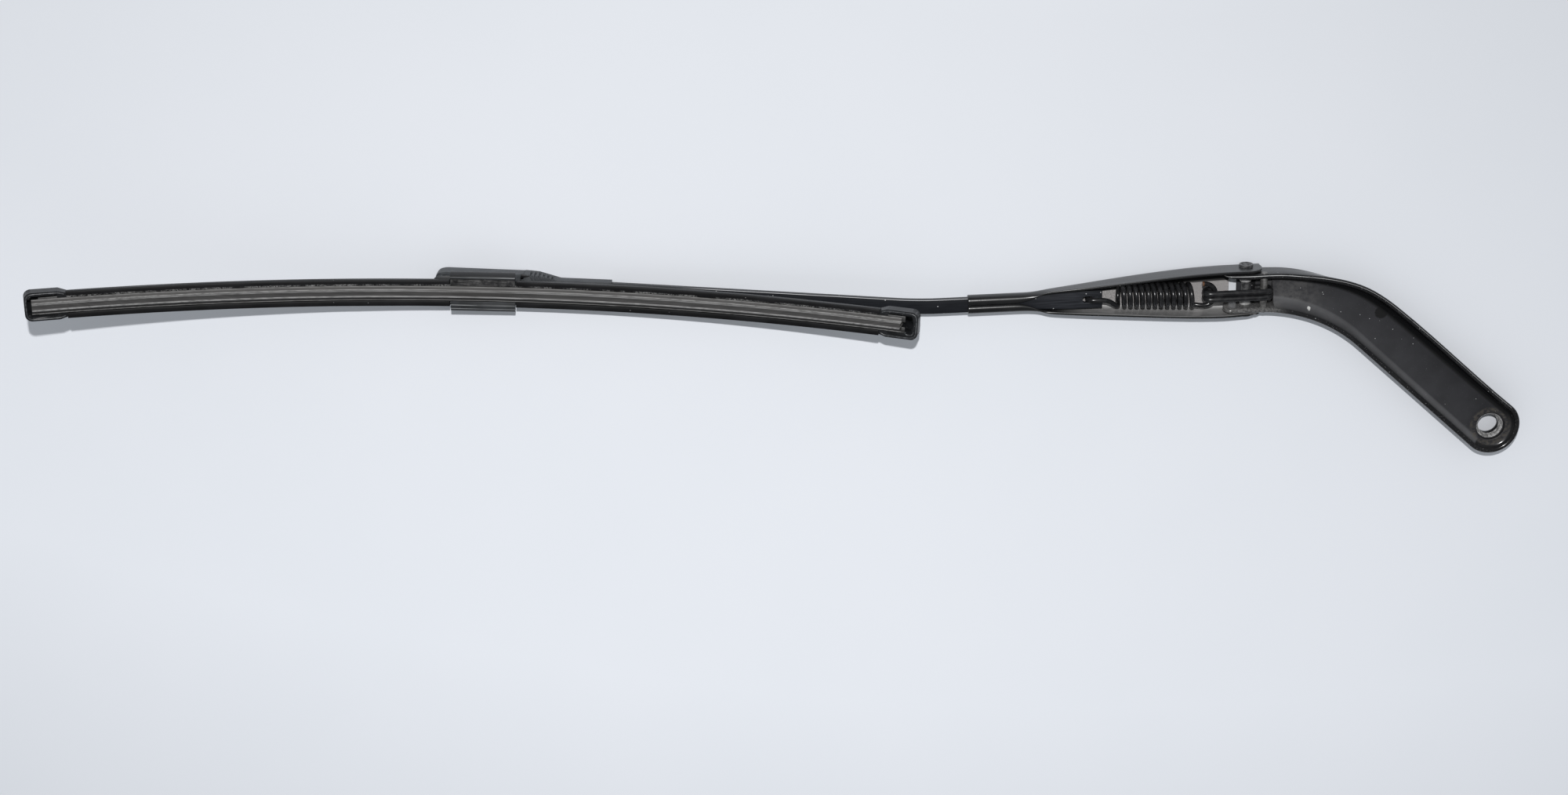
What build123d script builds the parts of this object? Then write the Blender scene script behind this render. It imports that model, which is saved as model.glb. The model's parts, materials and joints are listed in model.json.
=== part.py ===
from build123d import *
import math
import os

# Windscreen wiper arm with its flat blade, lying on its back, underside up.
# Millimetres. Origin: middle of the plain hole under the spindle taper, +Z out of the underside,
# +X from the blade towards the head. Heights below are counted from the mouth of the spindle bore.

# Head: plan path from the hinge through one bend to the bore
HEAD_NEAR = 49.7
HEAD_FAR = 143.8
HEAD_TURN = 42.4
HEAD_BEND_R = 104.0
HEAD_END_R = 17.3
HEAD_FLARE = 1.2
HEAD_WALL = 3.2
HEAD_BACK_BEVEL = 5.0
HEAD_FLOOR_BEVEL = 4.2
HEAD_BACK_HINGE = -11.0
HEAD_BACK_BORE = -16.0
HEAD_FLOOR_HINGE = -7.5
HEAD_FLOOR_BORE = -0.6
LUG_HALF = 12.5
LUG_INNER = 9.0
LUG_NOSE = 14.5
EDGE_Z = 3.0

# Spindle bore: mouth relief, serrated taper, plain hole, nut recess
MOUTH_R = 8.9
TAPER_R = 8.4
BORE_R = 6.5
MOUTH_DEEP = 2.0
TAPER_DEEP = 5.0
NUT_SEAT = -8.5
NUT_R = 12.0

# Hinge and spring line, measured in the arm's own frame with the hinge over its origin
ARM_YAW = 2.86
HINGE_Z = -7.0
RIVET_R = 2.6
RIVET_HEAD_R = 4.3
BUSH_R = 3.5
RUN_GAP = 0.05
PIN_X = 9.9
PIN_Z = -0.2
PIN_R = 2.2

# Pressed channel
SHEET = 1.6
CH_HALF_CRIMP = 5.9
CH_HALF = 14.9
CH_BACK = -16.0
CH_START = -140.0
CRIMP_LEN = 32.0
FLOOR_END = -8.7
EAR = 10.3

# Flat bar
BAR_W = 9.0
BAR_T = 4.0
BAR_Z = -3.0
BAR_END_Z = -12.2
TAB_W = 11.4
TAB_END = -89.0
SLOT_X = -97.7
KINK_X = -203.0
KINK_YAW = 5.3

# Tension spring and link
COIL_R = 6.8
WIRE_R = 1.4
COIL_Z = -1.6
COIL_START = -82.5
COIL_TURNS = 12
COIL_SIDES = 12
COIL_PITCH = 4.04
LINK_W = 7.4
LINK_T = 3.1

# Connector, in a frame at the blade pivot
PIVOT_REACH = 267.5
PIVOT_Z = -3.2
PIVOT_R = 2.0
COVER_HALF = 9.9
COVER_WALL = 2.0
COVER_LEFT = -30.0
COVER_RIGHT = 24.0
BACK_Z = -16.0
TAIL_END = 78.0
TAIL_HALF = 5.7

# Beam blade, in a frame at the middle of its rails
RAIL_Z = 4.0
BLADE_PITCH = 3.1
BLADE_BOW_R = 830.0
BLADE_HALF = 264.3
CAP_LEN = 23.5
CAP_HALF = 8.8
CAP_BACK = -7.2
CAP_TOP = 1.3
SPOILER_HALF = 8.4
SPOILER_PEAK = 7.2
BASE_HALF_LEN = 19.6

os.makedirs("parts", exist_ok=True)


def plate(points, low, high):
    """Closed polygon in plan, from one height to another."""
    return extrude(Pos(0, 0, low) * make_face(Polyline(*points, close=True)), high - low)


def side_plate(points, half):
    """Closed outline in x and z, symmetrical across the arm."""
    face = make_face(Polyline(*[(x, 0, z) for x, z in points], close=True))
    return extrude(face, half, dir=(0, 1, 0)) + extrude(face, half, dir=(0, -1, 0))


def cross_rod(x, z, radius, y_low, y_high):
    """Round rod across the arm."""
    return Plane((x, y_low, z), x_dir=(1, 0, 0), z_dir=(0, 1, 0)) * extrude(Circle(radius), y_high - y_low)


def bend(a, corner, b, radius):
    """Straight run to a corner and on, with the corner rounded."""
    c = Vector(corner)
    back = (Vector(a) - c).normalized()
    ahead = (Vector(b) - c).normalized()
    half = math.acos(back.dot(ahead)) / 2
    p = c + back * (radius / math.tan(half))
    q = c + ahead * (radius / math.tan(half))
    middle = c + (back + ahead).normalized() * (radius / math.sin(half) - radius)
    return Wire([Line(Vector(a), p), ThreePointArc(p, middle, q), Line(q, Vector(b))])


# Frames of the three bodies: the head fixes the hinge, the hinge fixes the blade pivot
turn = math.radians(HEAD_TURN)
yaw = math.radians(ARM_YAW)
bore_u = HEAD_NEAR + HEAD_FAR * math.cos(turn)
bore_v = -HEAD_FAR * math.sin(turn)
hinge_x = -(bore_u * math.cos(yaw) - bore_v * math.sin(yaw))
hinge_y = -(bore_u * math.sin(yaw) + bore_v * math.cos(yaw))
mouth_z = (TAPER_DEEP - NUT_SEAT) / 2
ARM = Pos(hinge_x, hinge_y, mouth_z) * Rot(0, 0, ARM_YAW)
OUTER = ARM * Pos(KINK_X, 0, 0) * Rot(0, 0, -KINK_YAW)
JOIN = OUTER * Pos(-PIVOT_REACH, 0, 0)
BLADE = JOIN * Pos(0, 0, PIVOT_Z) * Rot(0, BLADE_PITCH, 0) * Pos(0, 0, RAIL_Z - PIVOT_Z)
nodes = {}

# Mounting head: plan outline follows a bent centreline that widens towards the bore
flare = math.radians(HEAD_FLARE)


def head_outline(inset, start):
    """Plan face of the head, or of its pocket, from a start line to the round end."""
    half = LUG_HALF - inset
    r = HEAD_END_R - inset
    sides = []
    for sign in (1, -1):
        lean = turn - sign * flare
        out = (sign * math.sin(lean), sign * math.cos(lean))
        touch = (bore_u + out[0] * r, bore_v + out[1] * r)
        corner_u = touch[0] - (sign * half - touch[1]) / math.tan(lean)
        radius = HEAD_BEND_R + sign * half
        sides.append(bend((start, sign * half), (corner_u, sign * half), touch, radius))
    tip = (bore_u + math.cos(turn) * r, bore_v - math.sin(turn) * r)
    rest = Line((start, -half), (start, half))
    return make_face(sides[0] + sides[1] + rest + ThreePointArc(sides[0] @ 1, tip, sides[1] @ 1))


run = math.hypot(bore_u, bore_v)
aim = math.degrees(math.atan2(bore_v, bore_u))
fall = math.degrees(math.atan2(HEAD_BACK_BORE - HEAD_BACK_HINGE, run))
rise = math.degrees(math.atan2(HEAD_FLOOR_BORE - HEAD_FLOOR_HINGE, run))
back_plane = Rot(0, 0, aim) * Pos(0, 0, HEAD_BACK_HINGE) * Rot(0, -fall, 0) * Rot(0, 0, -aim)
floor_plane = Rot(0, 0, aim) * Pos(0, 0, HEAD_FLOOR_HINGE) * Rot(0, -rise, 0) * Rot(0, 0, -aim)
head = extrude(head_outline(0, 2.0), 40)
head = chamfer(head.faces().sort_by(Axis.Z)[0].edges().filter_by(lambda e: e.length > 40), HEAD_BACK_BEVEL)
pocket = extrude(head_outline(HEAD_WALL, 4.0), 40)
pocket_rim = pocket.faces().sort_by(Axis.Z)[0].edges().filter_by(lambda e: e.length > 30)
pocket = chamfer(pocket_rim, HEAD_FLOOR_BEVEL)
above = Pos(bore_u / 2, bore_v / 2, EDGE_Z + run / 2) * Box(3 * run, 3 * run, run)
head = back_plane * head - floor_plane * pocket - above
lug_side = [
    (10.0, EDGE_Z), (-LUG_NOSE + 3.5, EDGE_Z), (-LUG_NOSE + 1.0, EDGE_Z - 1.6), (-LUG_NOSE, EDGE_Z - 4.5),
    (-LUG_NOSE + 0.6, EDGE_Z - 8.0), (-LUG_NOSE + 2.4, EDGE_Z - 12.5),
    (-LUG_NOSE + 3.8, CH_BACK + SHEET + 0.7),
    (4.0, CH_BACK + SHEET + 0.7), (9.0, HEAD_BACK_HINGE + 0.4), (10.0, HEAD_BACK_HINGE + 0.4),
]
head = head + side_plate(lug_side, LUG_HALF)
fork = plate([(-30, -LUG_INNER), (16.5, -LUG_INNER), (16.5, LUG_INNER), (-30, LUG_INNER)], -40, 20)
head = head - fillet(fork.edges().filter_by(Axis.Z).sort_by(Axis.X)[-2:], 4.0)
head = head - cross_rod(0, HINGE_Z, BUSH_R, -40, 40) - cross_rod(PIN_X, PIN_Z, PIN_R, -40, 40)
bore = [
    (0, 6), (MOUTH_R, 6), (MOUTH_R, -MOUTH_DEEP), (TAPER_R, -MOUTH_DEEP), (BORE_R, -TAPER_DEEP),
    (BORE_R, NUT_SEAT), (NUT_R, NUT_SEAT), (NUT_R, -30), (0, -30),
]
bore_cut = revolve(make_face(Polyline(*[(x, 0, z) for x, z in bore], close=True)), Axis.Z)
nodes["arm_head"] = ARM * (head - Pos(bore_u, bore_v, 0) * bore_cut)

# Cross pin that takes the link, two hinge bushes pressed in the lugs
nodes["spring_pin"] = ARM * cross_rod(PIN_X, PIN_Z, PIN_R, -LUG_HALF - 0.3, LUG_HALF + 0.3)
tube = cross_rod(0, HINGE_Z, BUSH_R, 5.6, LUG_HALF) - cross_rod(0, HINGE_Z, RIVET_R + RUN_GAP, 5, 20)
nodes["hinge_bush_upper"] = ARM * tube
nodes["hinge_bush_lower"] = ARM * mirror(tube, about=Plane.XZ)

# Hinge rivet with a set head on each side of the channel
rivet = cross_rod(0, HINGE_Z, RIVET_R, -CH_HALF - 1.0, CH_HALF + 1.0)
for sign in (1, -1):
    low = CH_HALF if sign > 0 else -CH_HALF - 1.7
    dome = cross_rod(0, HINGE_Z, RIVET_HEAD_R, low, low + 1.7)
    rivet = rivet + dome
nodes["hinge_rivet"] = ARM * rivet


# Pressed channel: rounded sections that widen and deepen from the crimp, cut to a side outline
def channel_block(inset, corner, right):
    """Solid inside the channel's outer skin, or its hollow when inset by the sheet."""
    start_z = BAR_Z - BAR_T / 2 - SHEET
    top = 20.0
    cuts = []
    for x, widen, deepen in channel_run + [(right, 1, 1)]:
        half = CH_HALF_CRIMP + (CH_HALF - CH_HALF_CRIMP) * widen - inset
        low = start_z + (CH_BACK - start_z) * deepen + inset
        ring = [(half, low + corner), (half - 0.3 * corner, low + 0.3 * corner), (half - corner, low)]
        ring = [(half, top)] + ring + [(-y, z) for y, z in reversed(ring)] + [(-half, top)]
        cuts.append(make_face(Polyline(*[(x, y, z) for y, z in ring], close=True)))
    return loft(cuts, ruled=True)


channel_run = [
    (CH_START, 0, 0), (-90, 0.44, 0.64), (-70, 0.62, 0.85), (-50, 0.80, 0.96), (-33, 0.93, 1), (-16, 1, 1),
]
skin = channel_block(0, 2.6, 20)
hollow = channel_block(SHEET, 1.2, 30)
outline = Polyline(
    (EAR - 9, 0, EDGE_Z), (-98, 0, EDGE_Z), (-122, 0, EDGE_Z - 1.1), (CH_START, 0, BAR_Z + BAR_T / 2 + SHEET),
    (CH_START, 0, CH_BACK - 4), (EAR - 6, 0, CH_BACK - 4), (EAR - 6, 0, CH_BACK))
heel = ThreePointArc((EAR - 6, 0, CH_BACK), (EAR - 1.76, 0, CH_BACK + 1.76), (EAR, 0, CH_BACK + 6))
brow = ThreePointArc((EAR, 0, EDGE_Z - 9), (EAR - 2.64, 0, EDGE_Z - 2.64), (EAR - 9, 0, EDGE_Z))
ear_face = make_face(outline + heel + Line((EAR, 0, CH_BACK + 6), (EAR, 0, EDGE_Z - 9)) + brow)
skin = skin & (extrude(ear_face, 40, dir=(0, 1, 0)) + extrude(ear_face, 40, dir=(0, -1, 0)))
window = plate([(FLOOR_END, -CH_HALF + SHEET), (30, -CH_HALF + SHEET),
                (30, CH_HALF - SHEET), (FLOOR_END, CH_HALF - SHEET)], -30, -5)
channel = skin - hollow - window
crimp_h = BAR_T + 2 * SHEET
crimp = Pos(CH_START - CRIMP_LEN / 2 + 2, 0, BAR_Z) * Box(CRIMP_LEN + 4, 2 * CH_HALF_CRIMP, crimp_h)
crimp = fillet(crimp.edges().filter_by(Axis.X), 1.5)
seam = Pos(CH_START - CRIMP_LEN / 2, 0.4, BAR_Z + crimp_h / 2) * Box(CRIMP_LEN + 20, 0.7, 2 * SHEET)
bar_way = Pos(CH_START - CRIMP_LEN / 2, 0, BAR_Z) * Box(CRIMP_LEN + 40, BAR_W, BAR_T)
channel = channel + crimp - seam - bar_way
channel = channel - cross_rod(0, HINGE_Z, RIVET_R, -40, 40)
nodes["arm_channel"] = ARM * channel


# Flat bar: slotted tab in the channel, one bend, a slow fall to the connector
def bar_cut(place, width, thick):
    """Rectangular section of the bar across its run."""
    return place * (Plane.YZ * Rectangle(width, thick))


reach_u = PIVOT_REACH - TAIL_END
bar_sections = [
    bar_cut(ARM * Pos(TAB_END, 0, BAR_Z), TAB_W, BAR_T - 0.6),
    bar_cut(ARM * Pos(TAB_END - 18, 0, BAR_Z), TAB_W, BAR_T - 0.6),
    bar_cut(ARM * Pos(CH_START + 8, 0, BAR_Z), BAR_W, BAR_T),
    bar_cut(ARM * Pos(KINK_X + 14, 0, BAR_Z), BAR_W, BAR_T),
    bar_cut(ARM * Pos(KINK_X, 0, BAR_Z - 0.3) * Rot(0, 0, -KINK_YAW / 2), BAR_W, BAR_T),
    bar_cut(OUTER * Pos(-14, 0, BAR_Z - 1.0), BAR_W, BAR_T),
    bar_cut(OUTER * Pos(-reach_u + 22, 0, BAR_END_Z + 1.0), BAR_W, BAR_T),
    bar_cut(OUTER * Pos(-reach_u + 2, 0, BAR_END_Z), BAR_W, BAR_T),
    bar_cut(OUTER * Pos(-PIVOT_REACH + COVER_RIGHT + 6, 0, BAR_END_Z), BAR_W, BAR_T),
]
bar = loft(bar_sections, ruled=True)
slot = Pos(SLOT_X, 0, BAR_Z) * extrude(SlotOverall(7.0, 4.0), 8, both=True)
nodes["arm_bar"] = bar - ARM * slot

# Tension spring: helical coil, hook through the tab, loop for the link
coil_len = COIL_TURNS * COIL_PITCH
coil_end = COIL_START + coil_len
wire = RegularPolygon(WIRE_R, 6)
turns = []
for k in range(COIL_TURNS * COIL_SIDES + 1):
    a = 2 * math.pi * k / COIL_SIDES
    step = COIL_START + COIL_PITCH * k / COIL_SIDES
    turns.append((step, -COIL_R * math.cos(a), COIL_Z - COIL_R * math.sin(a)))
helix = Polyline(*turns)
coil = sweep(Plane(helix @ 0, z_dir=helix % 0) * wire, path=helix, transition=Transition.RIGHT)
hook_x = SLOT_X - 0.2
hook_z = BAR_Z + BAR_T / 2 + WIRE_R
hook = Spline(
    (COIL_START + 0.4, -COIL_R, COIL_Z), (COIL_START - 4.0, -COIL_R * 0.62, COIL_Z + 1.3),
    (COIL_START - 8.0, 0, hook_z), (hook_x + 3.2, 0, hook_z + 0.2),
    (hook_x, 0, BAR_Z), (hook_x + 1.2, 0, BAR_Z - BAR_T / 2 - 3.0),
    tangents=((-0.7, 0.3, 0.6), (0.6, 0, -1)))
hook_cuts = [Plane(hook @ (k / 14), x_dir=(0, 1, 0), z_dir=hook % (k / 14)) * wire for k in range(15)]
hook_wire = loft(hook_cuts, ruled=True)
loop_x = coil_end + 6.0
eye = Wire([
    Line((coil_end - 0.4, -COIL_R, COIL_Z), (loop_x, -COIL_R, COIL_Z)),
    ThreePointArc((loop_x, -COIL_R, COIL_Z), (loop_x + COIL_R, 0, COIL_Z), (loop_x, COIL_R, COIL_Z)),
])
eye_cuts = [Plane(eye @ (k / 12), x_dir=(0, 0, 1), z_dir=eye % (k / 12)) * wire for k in range(13)]
loop_wire = loft(eye_cuts, ruled=True)
nodes["tension_spring"] = ARM * (coil + hook_wire + loop_wire)

# C shaped link: bridges the hinge rivet, hooks the spring loop and the cross pin
link_left = loop_x + COIL_R - WIRE_R - 1.8
link_right = PIN_X + PIN_R + 0.1
link_low = min(COIL_Z - WIRE_R, PIN_Z - PIN_R) - 0.25
link_high = PIN_Z + 3.0


def link_face(grow, radius):
    """Rounded outline of the link's outside or inside."""
    w = link_right - link_left + 2 * grow
    h = link_high - link_low + 2 * grow
    middle = Pos((link_left + link_right) / 2, 0, (link_low + link_high) / 2)
    return middle * Plane.XZ * RectangleRounded(w, h, radius)


ring = link_face(LINK_T, 4.6) - link_face(0, 2.0)
link = extrude(ring, LINK_W / 2, both=True)
gap_left = loop_x + COIL_R + 2.6
gap_right = PIN_X - 5.2
link = link - Pos((gap_left + gap_right) / 2, 0, link_low - 6) * Box(gap_right - gap_left, 40, 14)
groove = Pos(2, 0, link_high + LINK_T) * Box(gap_right - gap_left + 30, 0.8, 1.6)
nodes["spring_link"] = ARM * (link - groove)

# Connector cover over the adapter, closed at the back, side walls cut away below
cover_side = [
    (COVER_LEFT + 5, BACK_Z), (COVER_RIGHT, BACK_Z), (COVER_RIGHT, BACK_Z + 9.5), (14, BACK_Z + 13.5),
    (-16, BACK_Z + 13.5), (COVER_LEFT + 3, BACK_Z + 10.0), (COVER_LEFT, BACK_Z + 8.5),
    (COVER_LEFT, BACK_Z + 4.0),
]
cover = side_plate(cover_side, COVER_HALF)
cover = fillet(cover.edges().filter_by(Axis.X).sort_by(Axis.Z)[:2], 2.5)
cover_hollow = Pos(-10, 0, BACK_Z + COVER_WALL + 20) * Box(120, 2 * (COVER_HALF - COVER_WALL), 40)
nodes["connector_cover"] = JOIN * (cover - cover_hollow)

# Adapter: two cheeks and a bridge that swing on the blade's pivot pin
cheek = COVER_HALF - COVER_WALL - 0.1
adapter_side = [
    (-24, BACK_Z + 4.3), (22, BACK_Z + 4.3), (22, BACK_Z + 9.5), (12, BACK_Z + 14.5), (5, PIVOT_Z + 4.0),
    (-5, PIVOT_Z + 4.0), (-12, BACK_Z + 14.5), (-24, BACK_Z + 10.0),
]
adapter = side_plate(adapter_side, cheek)
adapter = adapter - Pos(0, 0, BACK_Z + 6.3 + 20) * Box(80, 2 * 4.9, 40)
adapter = adapter - cross_rod(0, PIVOT_Z, PIVOT_R + RUN_GAP, -40, 40)
nodes["blade_adapter"] = JOIN * adapter

# Coupling on the bar's end: tongue under the cover, ribbed grips, tail sleeve
waist = COVER_RIGHT + 21
tongue = Pos((COVER_RIGHT - 20) / 2, 0, BACK_Z + COVER_WALL + 1.1)
tongue = tongue * Box(COVER_RIGHT + 20, 2 * cheek - 0.4, 2.0)
shoulder = plate([
    (COVER_RIGHT, -COVER_HALF + 0.4), (COVER_RIGHT + 9, -COVER_HALF + 1.0), (waist, -TAIL_HALF),
    (TAIL_END, -TAIL_HALF), (TAIL_END, TAIL_HALF), (waist, TAIL_HALF),
    (COVER_RIGHT + 9, COVER_HALF - 1.0), (COVER_RIGHT, COVER_HALF - 0.4),
], BACK_Z, BACK_Z + 9.3)
tail_cut = [
    (COVER_RIGHT + 6, BACK_Z + 9.3), (waist, BACK_Z + 7.2), (TAIL_END + 9, BACK_Z + 7.2),
    (TAIL_END + 9, 8), (COVER_RIGHT + 6, 8),
]
shoulder = shoulder - side_plate(tail_cut, 20)
back_edges = shoulder.edges().filter_by(lambda e: abs(e.center().Z - BACK_Z) < 0.01 and e.length > 15)
shoulder = fillet(back_edges, 1.4)
for k in range(6):
    notch = Rot(0, 0, 12) * Box(1.3, 2.2, 30)
    spot = COVER_RIGHT + 4.5 + 2.6 * k
    side = COVER_HALF - 0.4 - 0.067 * min(spot - COVER_RIGHT, 9)
    side = side - 0.27 * max(spot - COVER_RIGHT - 9, 0)
    shoulder = shoulder - Pos(spot, side, 0) * notch - Pos(spot, -side, 0) * mirror(notch, about=Plane.XZ)
bar_hole = Pos((COVER_RIGHT + 6 + TAIL_END + 20) / 2, 0, BAR_END_Z)
bar_hole = bar_hole * Box(TAIL_END + 20 - COVER_RIGHT - 6, BAR_W, BAR_T)
nodes["arm_end_coupling"] = JOIN * (shoulder + tongue - bar_hole)

# Blade: every long piece is one profile swung along the bow of the rails
AXLE = Axis((0, 0, BLADE_BOW_R), (0, 1, 0))


def strip(points, start, stop):
    """Profile across the blade, carried along the bow between two lengths."""
    face = make_face(Polyline(*[(0, y, z) for y, z in points], close=True))
    first = math.degrees(start / BLADE_BOW_R)
    span = math.degrees((stop - start) / BLADE_BOW_R)
    return revolve(face.rotate(AXLE, -first), AXLE, -span)


def along(s):
    """Frame on the bow at a length from the middle."""
    return Pos(0, 0, BLADE_BOW_R) * Rot(0, -math.degrees(s / BLADE_BOW_R), 0) * Pos(0, 0, -BLADE_BOW_R)


rail = [(1.6, -0.45), (5.4, -0.45), (5.4, 0.45), (1.6, 0.45)]
nodes["rail_upper"] = BLADE * strip(rail, -BLADE_HALF + 4, BLADE_HALF - 4)
nodes["rail_lower"] = BLADE * strip([(-y, z) for y, z in reversed(rail)], -BLADE_HALF + 4, BLADE_HALF - 4)

half_rubber = [(2.6, -3.2), (2.6, -0.7), (1.2, -0.7), (1.2, 0.7), (4.6, 0.7), (4.6, 1.5), (3.6, 2.1),
               (0.9, 2.3), (0.9, 3.3), (2.5, 3.5), (2.3, 4.6), (0.6, 7.6), (0.4, 8.3)]
rubber = half_rubber + [(-y, z) for y, z in reversed(half_rubber)]
nodes["wiper_rubber"] = BLADE * strip(rubber, -BLADE_HALF, BLADE_HALF - 6)

spoiler = [
    (SPOILER_HALF - 0.2, 1.9), (SPOILER_HALF, 0.2), (SPOILER_HALF - 0.3, -2.4), (4.6, -4.8),
    (0.5, -SPOILER_PEAK + 0.6), (-1.8, -SPOILER_PEAK), (-3.4, -SPOILER_PEAK + 0.5), (-5.6, -4.6),
    (-SPOILER_HALF + 0.5, -2.0),
    (-SPOILER_HALF, 0.2), (-SPOILER_HALF + 0.2, 1.9), (-4.9, 1.9), (-4.9, 0.75), (-5.6, 0.75), (-5.6, -0.75),
    (-3.2, -0.75), (-3.2, -3.7), (3.2, -3.7), (3.2, -0.75), (5.6, -0.75), (5.6, 0.75), (4.9, 0.75),
    (4.9, 1.9),
]
inboard = BASE_HALF_LEN + 0.6
outboard = BLADE_HALF - CAP_LEN + 3.7
ramp = [(10, -4.2), (46, -4.2), (58, -12), (58, -30), (10, -30)]
ramp_cut = side_plate(ramp, 30)
nodes["spoiler_heel"] = BLADE * (strip(spoiler, inboard, outboard) - ramp_cut)
nodes["spoiler_tip"] = BLADE * (strip(spoiler, -outboard, -inboard) - mirror(ramp_cut, about=Plane.YZ))


# Blade base: plate over the rails, claws folded round their outer edges, pivot block
base = Box(2 * BASE_HALF_LEN, 20.6, 1.9, align=(Align.CENTER, Align.CENTER, Align.MAX))
base = Pos(0, 0, -0.7) * base
claw = [
    (9.2, -2.6), (10.3, -2.6), (10.9, -0.4), (10.6, 1.4), (9.4, 2.4), (7.4, 2.4), (6.9, 1.8), (5.0, 1.8),
    (5.0, 0.75), (5.7, 0.75), (5.7, -0.7), (9.2, -0.7),
]
claw_face = make_face(Polyline(*[(0, y, z) for y, z in claw], close=True))
claw_bar = Pos(-BASE_HALF_LEN, 0, 0) * extrude(claw_face, 2 * BASE_HALF_LEN, dir=(1, 0, 0))
base = base + claw_bar + mirror(claw_bar, about=Plane.XZ)
pin_n = PIVOT_Z - RAIL_Z
block = [(-15, -2.0), (15, -2.0), (11, -4.4), (4.2, pin_n - 3.6), (-4.2, pin_n - 3.6), (-11, -4.4)]
base = base + side_plate(block, 4.6)
base = base - Pos(0, 0, -2.5) * Box(60, 6.0, 3.6 + 0.4)
base = base - cross_rod(0, pin_n, PIVOT_R, -40, 40)
nodes["blade_base"] = BLADE * base
nodes["pivot_pin"] = BLADE * cross_rod(0, pin_n, PIVOT_R, -cheek, cheek)


# End caps: rounded moulded boxes with a slot for rails and rubber and an open underside
def end_cap(open_to, notch_len):
    """Cap drawn at its own middle, outer end towards +x."""
    half = CAP_LEN / 2
    plan = [(-half, -SPOILER_HALF), (-half + 4, -CAP_HALF), (half, -CAP_HALF), (half, CAP_HALF),
            (-half + 4, CAP_HALF), (-half, SPOILER_HALF)]
    body = plate(plan, CAP_BACK, CAP_TOP)
    body = fillet(body.edges().filter_by(Axis.Z).sort_by(Axis.X)[-2:], 4.2)
    body = chamfer(body.faces().sort_by(Axis.Z)[0].edges().sort_by(Axis.X)[1:], 1.3)
    body = body - Pos((open_to - 30) / 2, 0, 0) * Box(open_to + 30, 11.4, 1.7)
    body = body - Pos((open_to - 30) / 2, 0, -2) * Box(open_to + 30, 6.4, 4)
    body = body - Pos((open_to - 30) / 2, 0, CAP_TOP) * Box(open_to + 30, 9.8, 2 * CAP_TOP)
    rim = Pos(0.8, 0, CAP_TOP) * RectangleRounded(CAP_LEN - 8, 2 * CAP_HALF - 4.4, 1.6)
    body = body - extrude(rim, -0.9)
    return body - Pos(half - 4.4, 0, CAP_TOP) * Box(notch_len, 4.4, 6)


cap_spot = BLADE_HALF - CAP_LEN / 2 + 4
nodes["end_cap_heel"] = BLADE * along(cap_spot) * end_cap(8.0, 3.0)
nodes["end_cap_tip"] = BLADE * along(-cap_spot) * Rot(0, 0, 180) * end_cap(11.0, 0.5)

for name, shape in nodes.items():
    export_step(shape, f"parts/{name}.step")
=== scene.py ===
import json
import math

import bpy
from mathutils import Matrix, Vector

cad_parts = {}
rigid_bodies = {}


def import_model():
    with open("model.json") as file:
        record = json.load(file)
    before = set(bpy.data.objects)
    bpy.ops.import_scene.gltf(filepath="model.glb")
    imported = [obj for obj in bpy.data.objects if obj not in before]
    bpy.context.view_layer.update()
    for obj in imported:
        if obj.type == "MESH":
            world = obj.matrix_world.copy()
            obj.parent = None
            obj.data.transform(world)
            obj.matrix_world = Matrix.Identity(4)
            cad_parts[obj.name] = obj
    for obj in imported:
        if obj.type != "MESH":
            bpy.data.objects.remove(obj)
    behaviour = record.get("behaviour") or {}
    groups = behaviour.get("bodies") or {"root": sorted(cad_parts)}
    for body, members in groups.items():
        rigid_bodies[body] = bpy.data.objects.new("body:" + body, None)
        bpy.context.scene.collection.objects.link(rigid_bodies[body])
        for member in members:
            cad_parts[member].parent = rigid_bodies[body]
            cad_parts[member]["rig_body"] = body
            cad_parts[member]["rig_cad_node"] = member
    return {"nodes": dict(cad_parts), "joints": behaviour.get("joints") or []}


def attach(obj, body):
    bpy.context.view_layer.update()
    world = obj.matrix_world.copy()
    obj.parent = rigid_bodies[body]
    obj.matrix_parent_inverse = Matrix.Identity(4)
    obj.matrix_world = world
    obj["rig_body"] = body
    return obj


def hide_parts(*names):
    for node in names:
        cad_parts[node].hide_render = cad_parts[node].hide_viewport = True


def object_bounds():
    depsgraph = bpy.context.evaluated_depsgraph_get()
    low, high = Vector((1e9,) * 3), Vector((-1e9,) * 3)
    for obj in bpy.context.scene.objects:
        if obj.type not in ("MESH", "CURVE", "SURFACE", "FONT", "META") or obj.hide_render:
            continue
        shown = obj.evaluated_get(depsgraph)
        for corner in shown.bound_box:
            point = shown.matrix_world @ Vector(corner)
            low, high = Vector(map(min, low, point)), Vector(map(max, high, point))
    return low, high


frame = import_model()
cad_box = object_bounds()
nodes = frame["nodes"]
joints = {joint["name"]: joint for joint in frame["joints"]}

# A painted highlight runs along the rim's crest, painted shade darkens the band under the upper rim and painted
# light lies on the lower bank.
# Mounting head: one bent alloy casting with a raised rim round a shallow pocket, sprayed satin black.
# The rim and the lower lug are worn to bare metal, and dust lies on the pocket's floor.
# It goes on the car's spindle by the tapered bore at its round end.
hinge = Vector(joints["arm_hinge"]["pos_m"])
across = joints["arm_hinge"]["axis"]
arm_yaw = math.atan(-across[0] / across[1])
mouth = Vector((hinge.x, hinge.y, hinge.z + 0.007))
in_arm = Matrix.Translation(mouth) @ Matrix.Rotation(arm_yaw, 4, "Z") @ Matrix.Scale(0.001, 4)
bore = in_arm.inverted() @ Vector((0, 0, mouth.z))
head_turn = math.radians(42.4)


def mode(kind):
    """Goes to edit mode or back to object mode."""
    bpy.ops.object.mode_set(mode=kind)


def alone(piece=None):
    """Nothing selected, or one piece only, which is then the active one."""
    bpy.ops.object.select_all(action="DESELECT")
    if piece:
        bpy.context.view_layer.objects.active = piece
        piece.select_set(True)


def settle():
    """Takes the selected piece's place, turn and scale into its mesh."""
    bpy.ops.object.transform_apply(location=True, rotation=True, scale=True)


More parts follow.
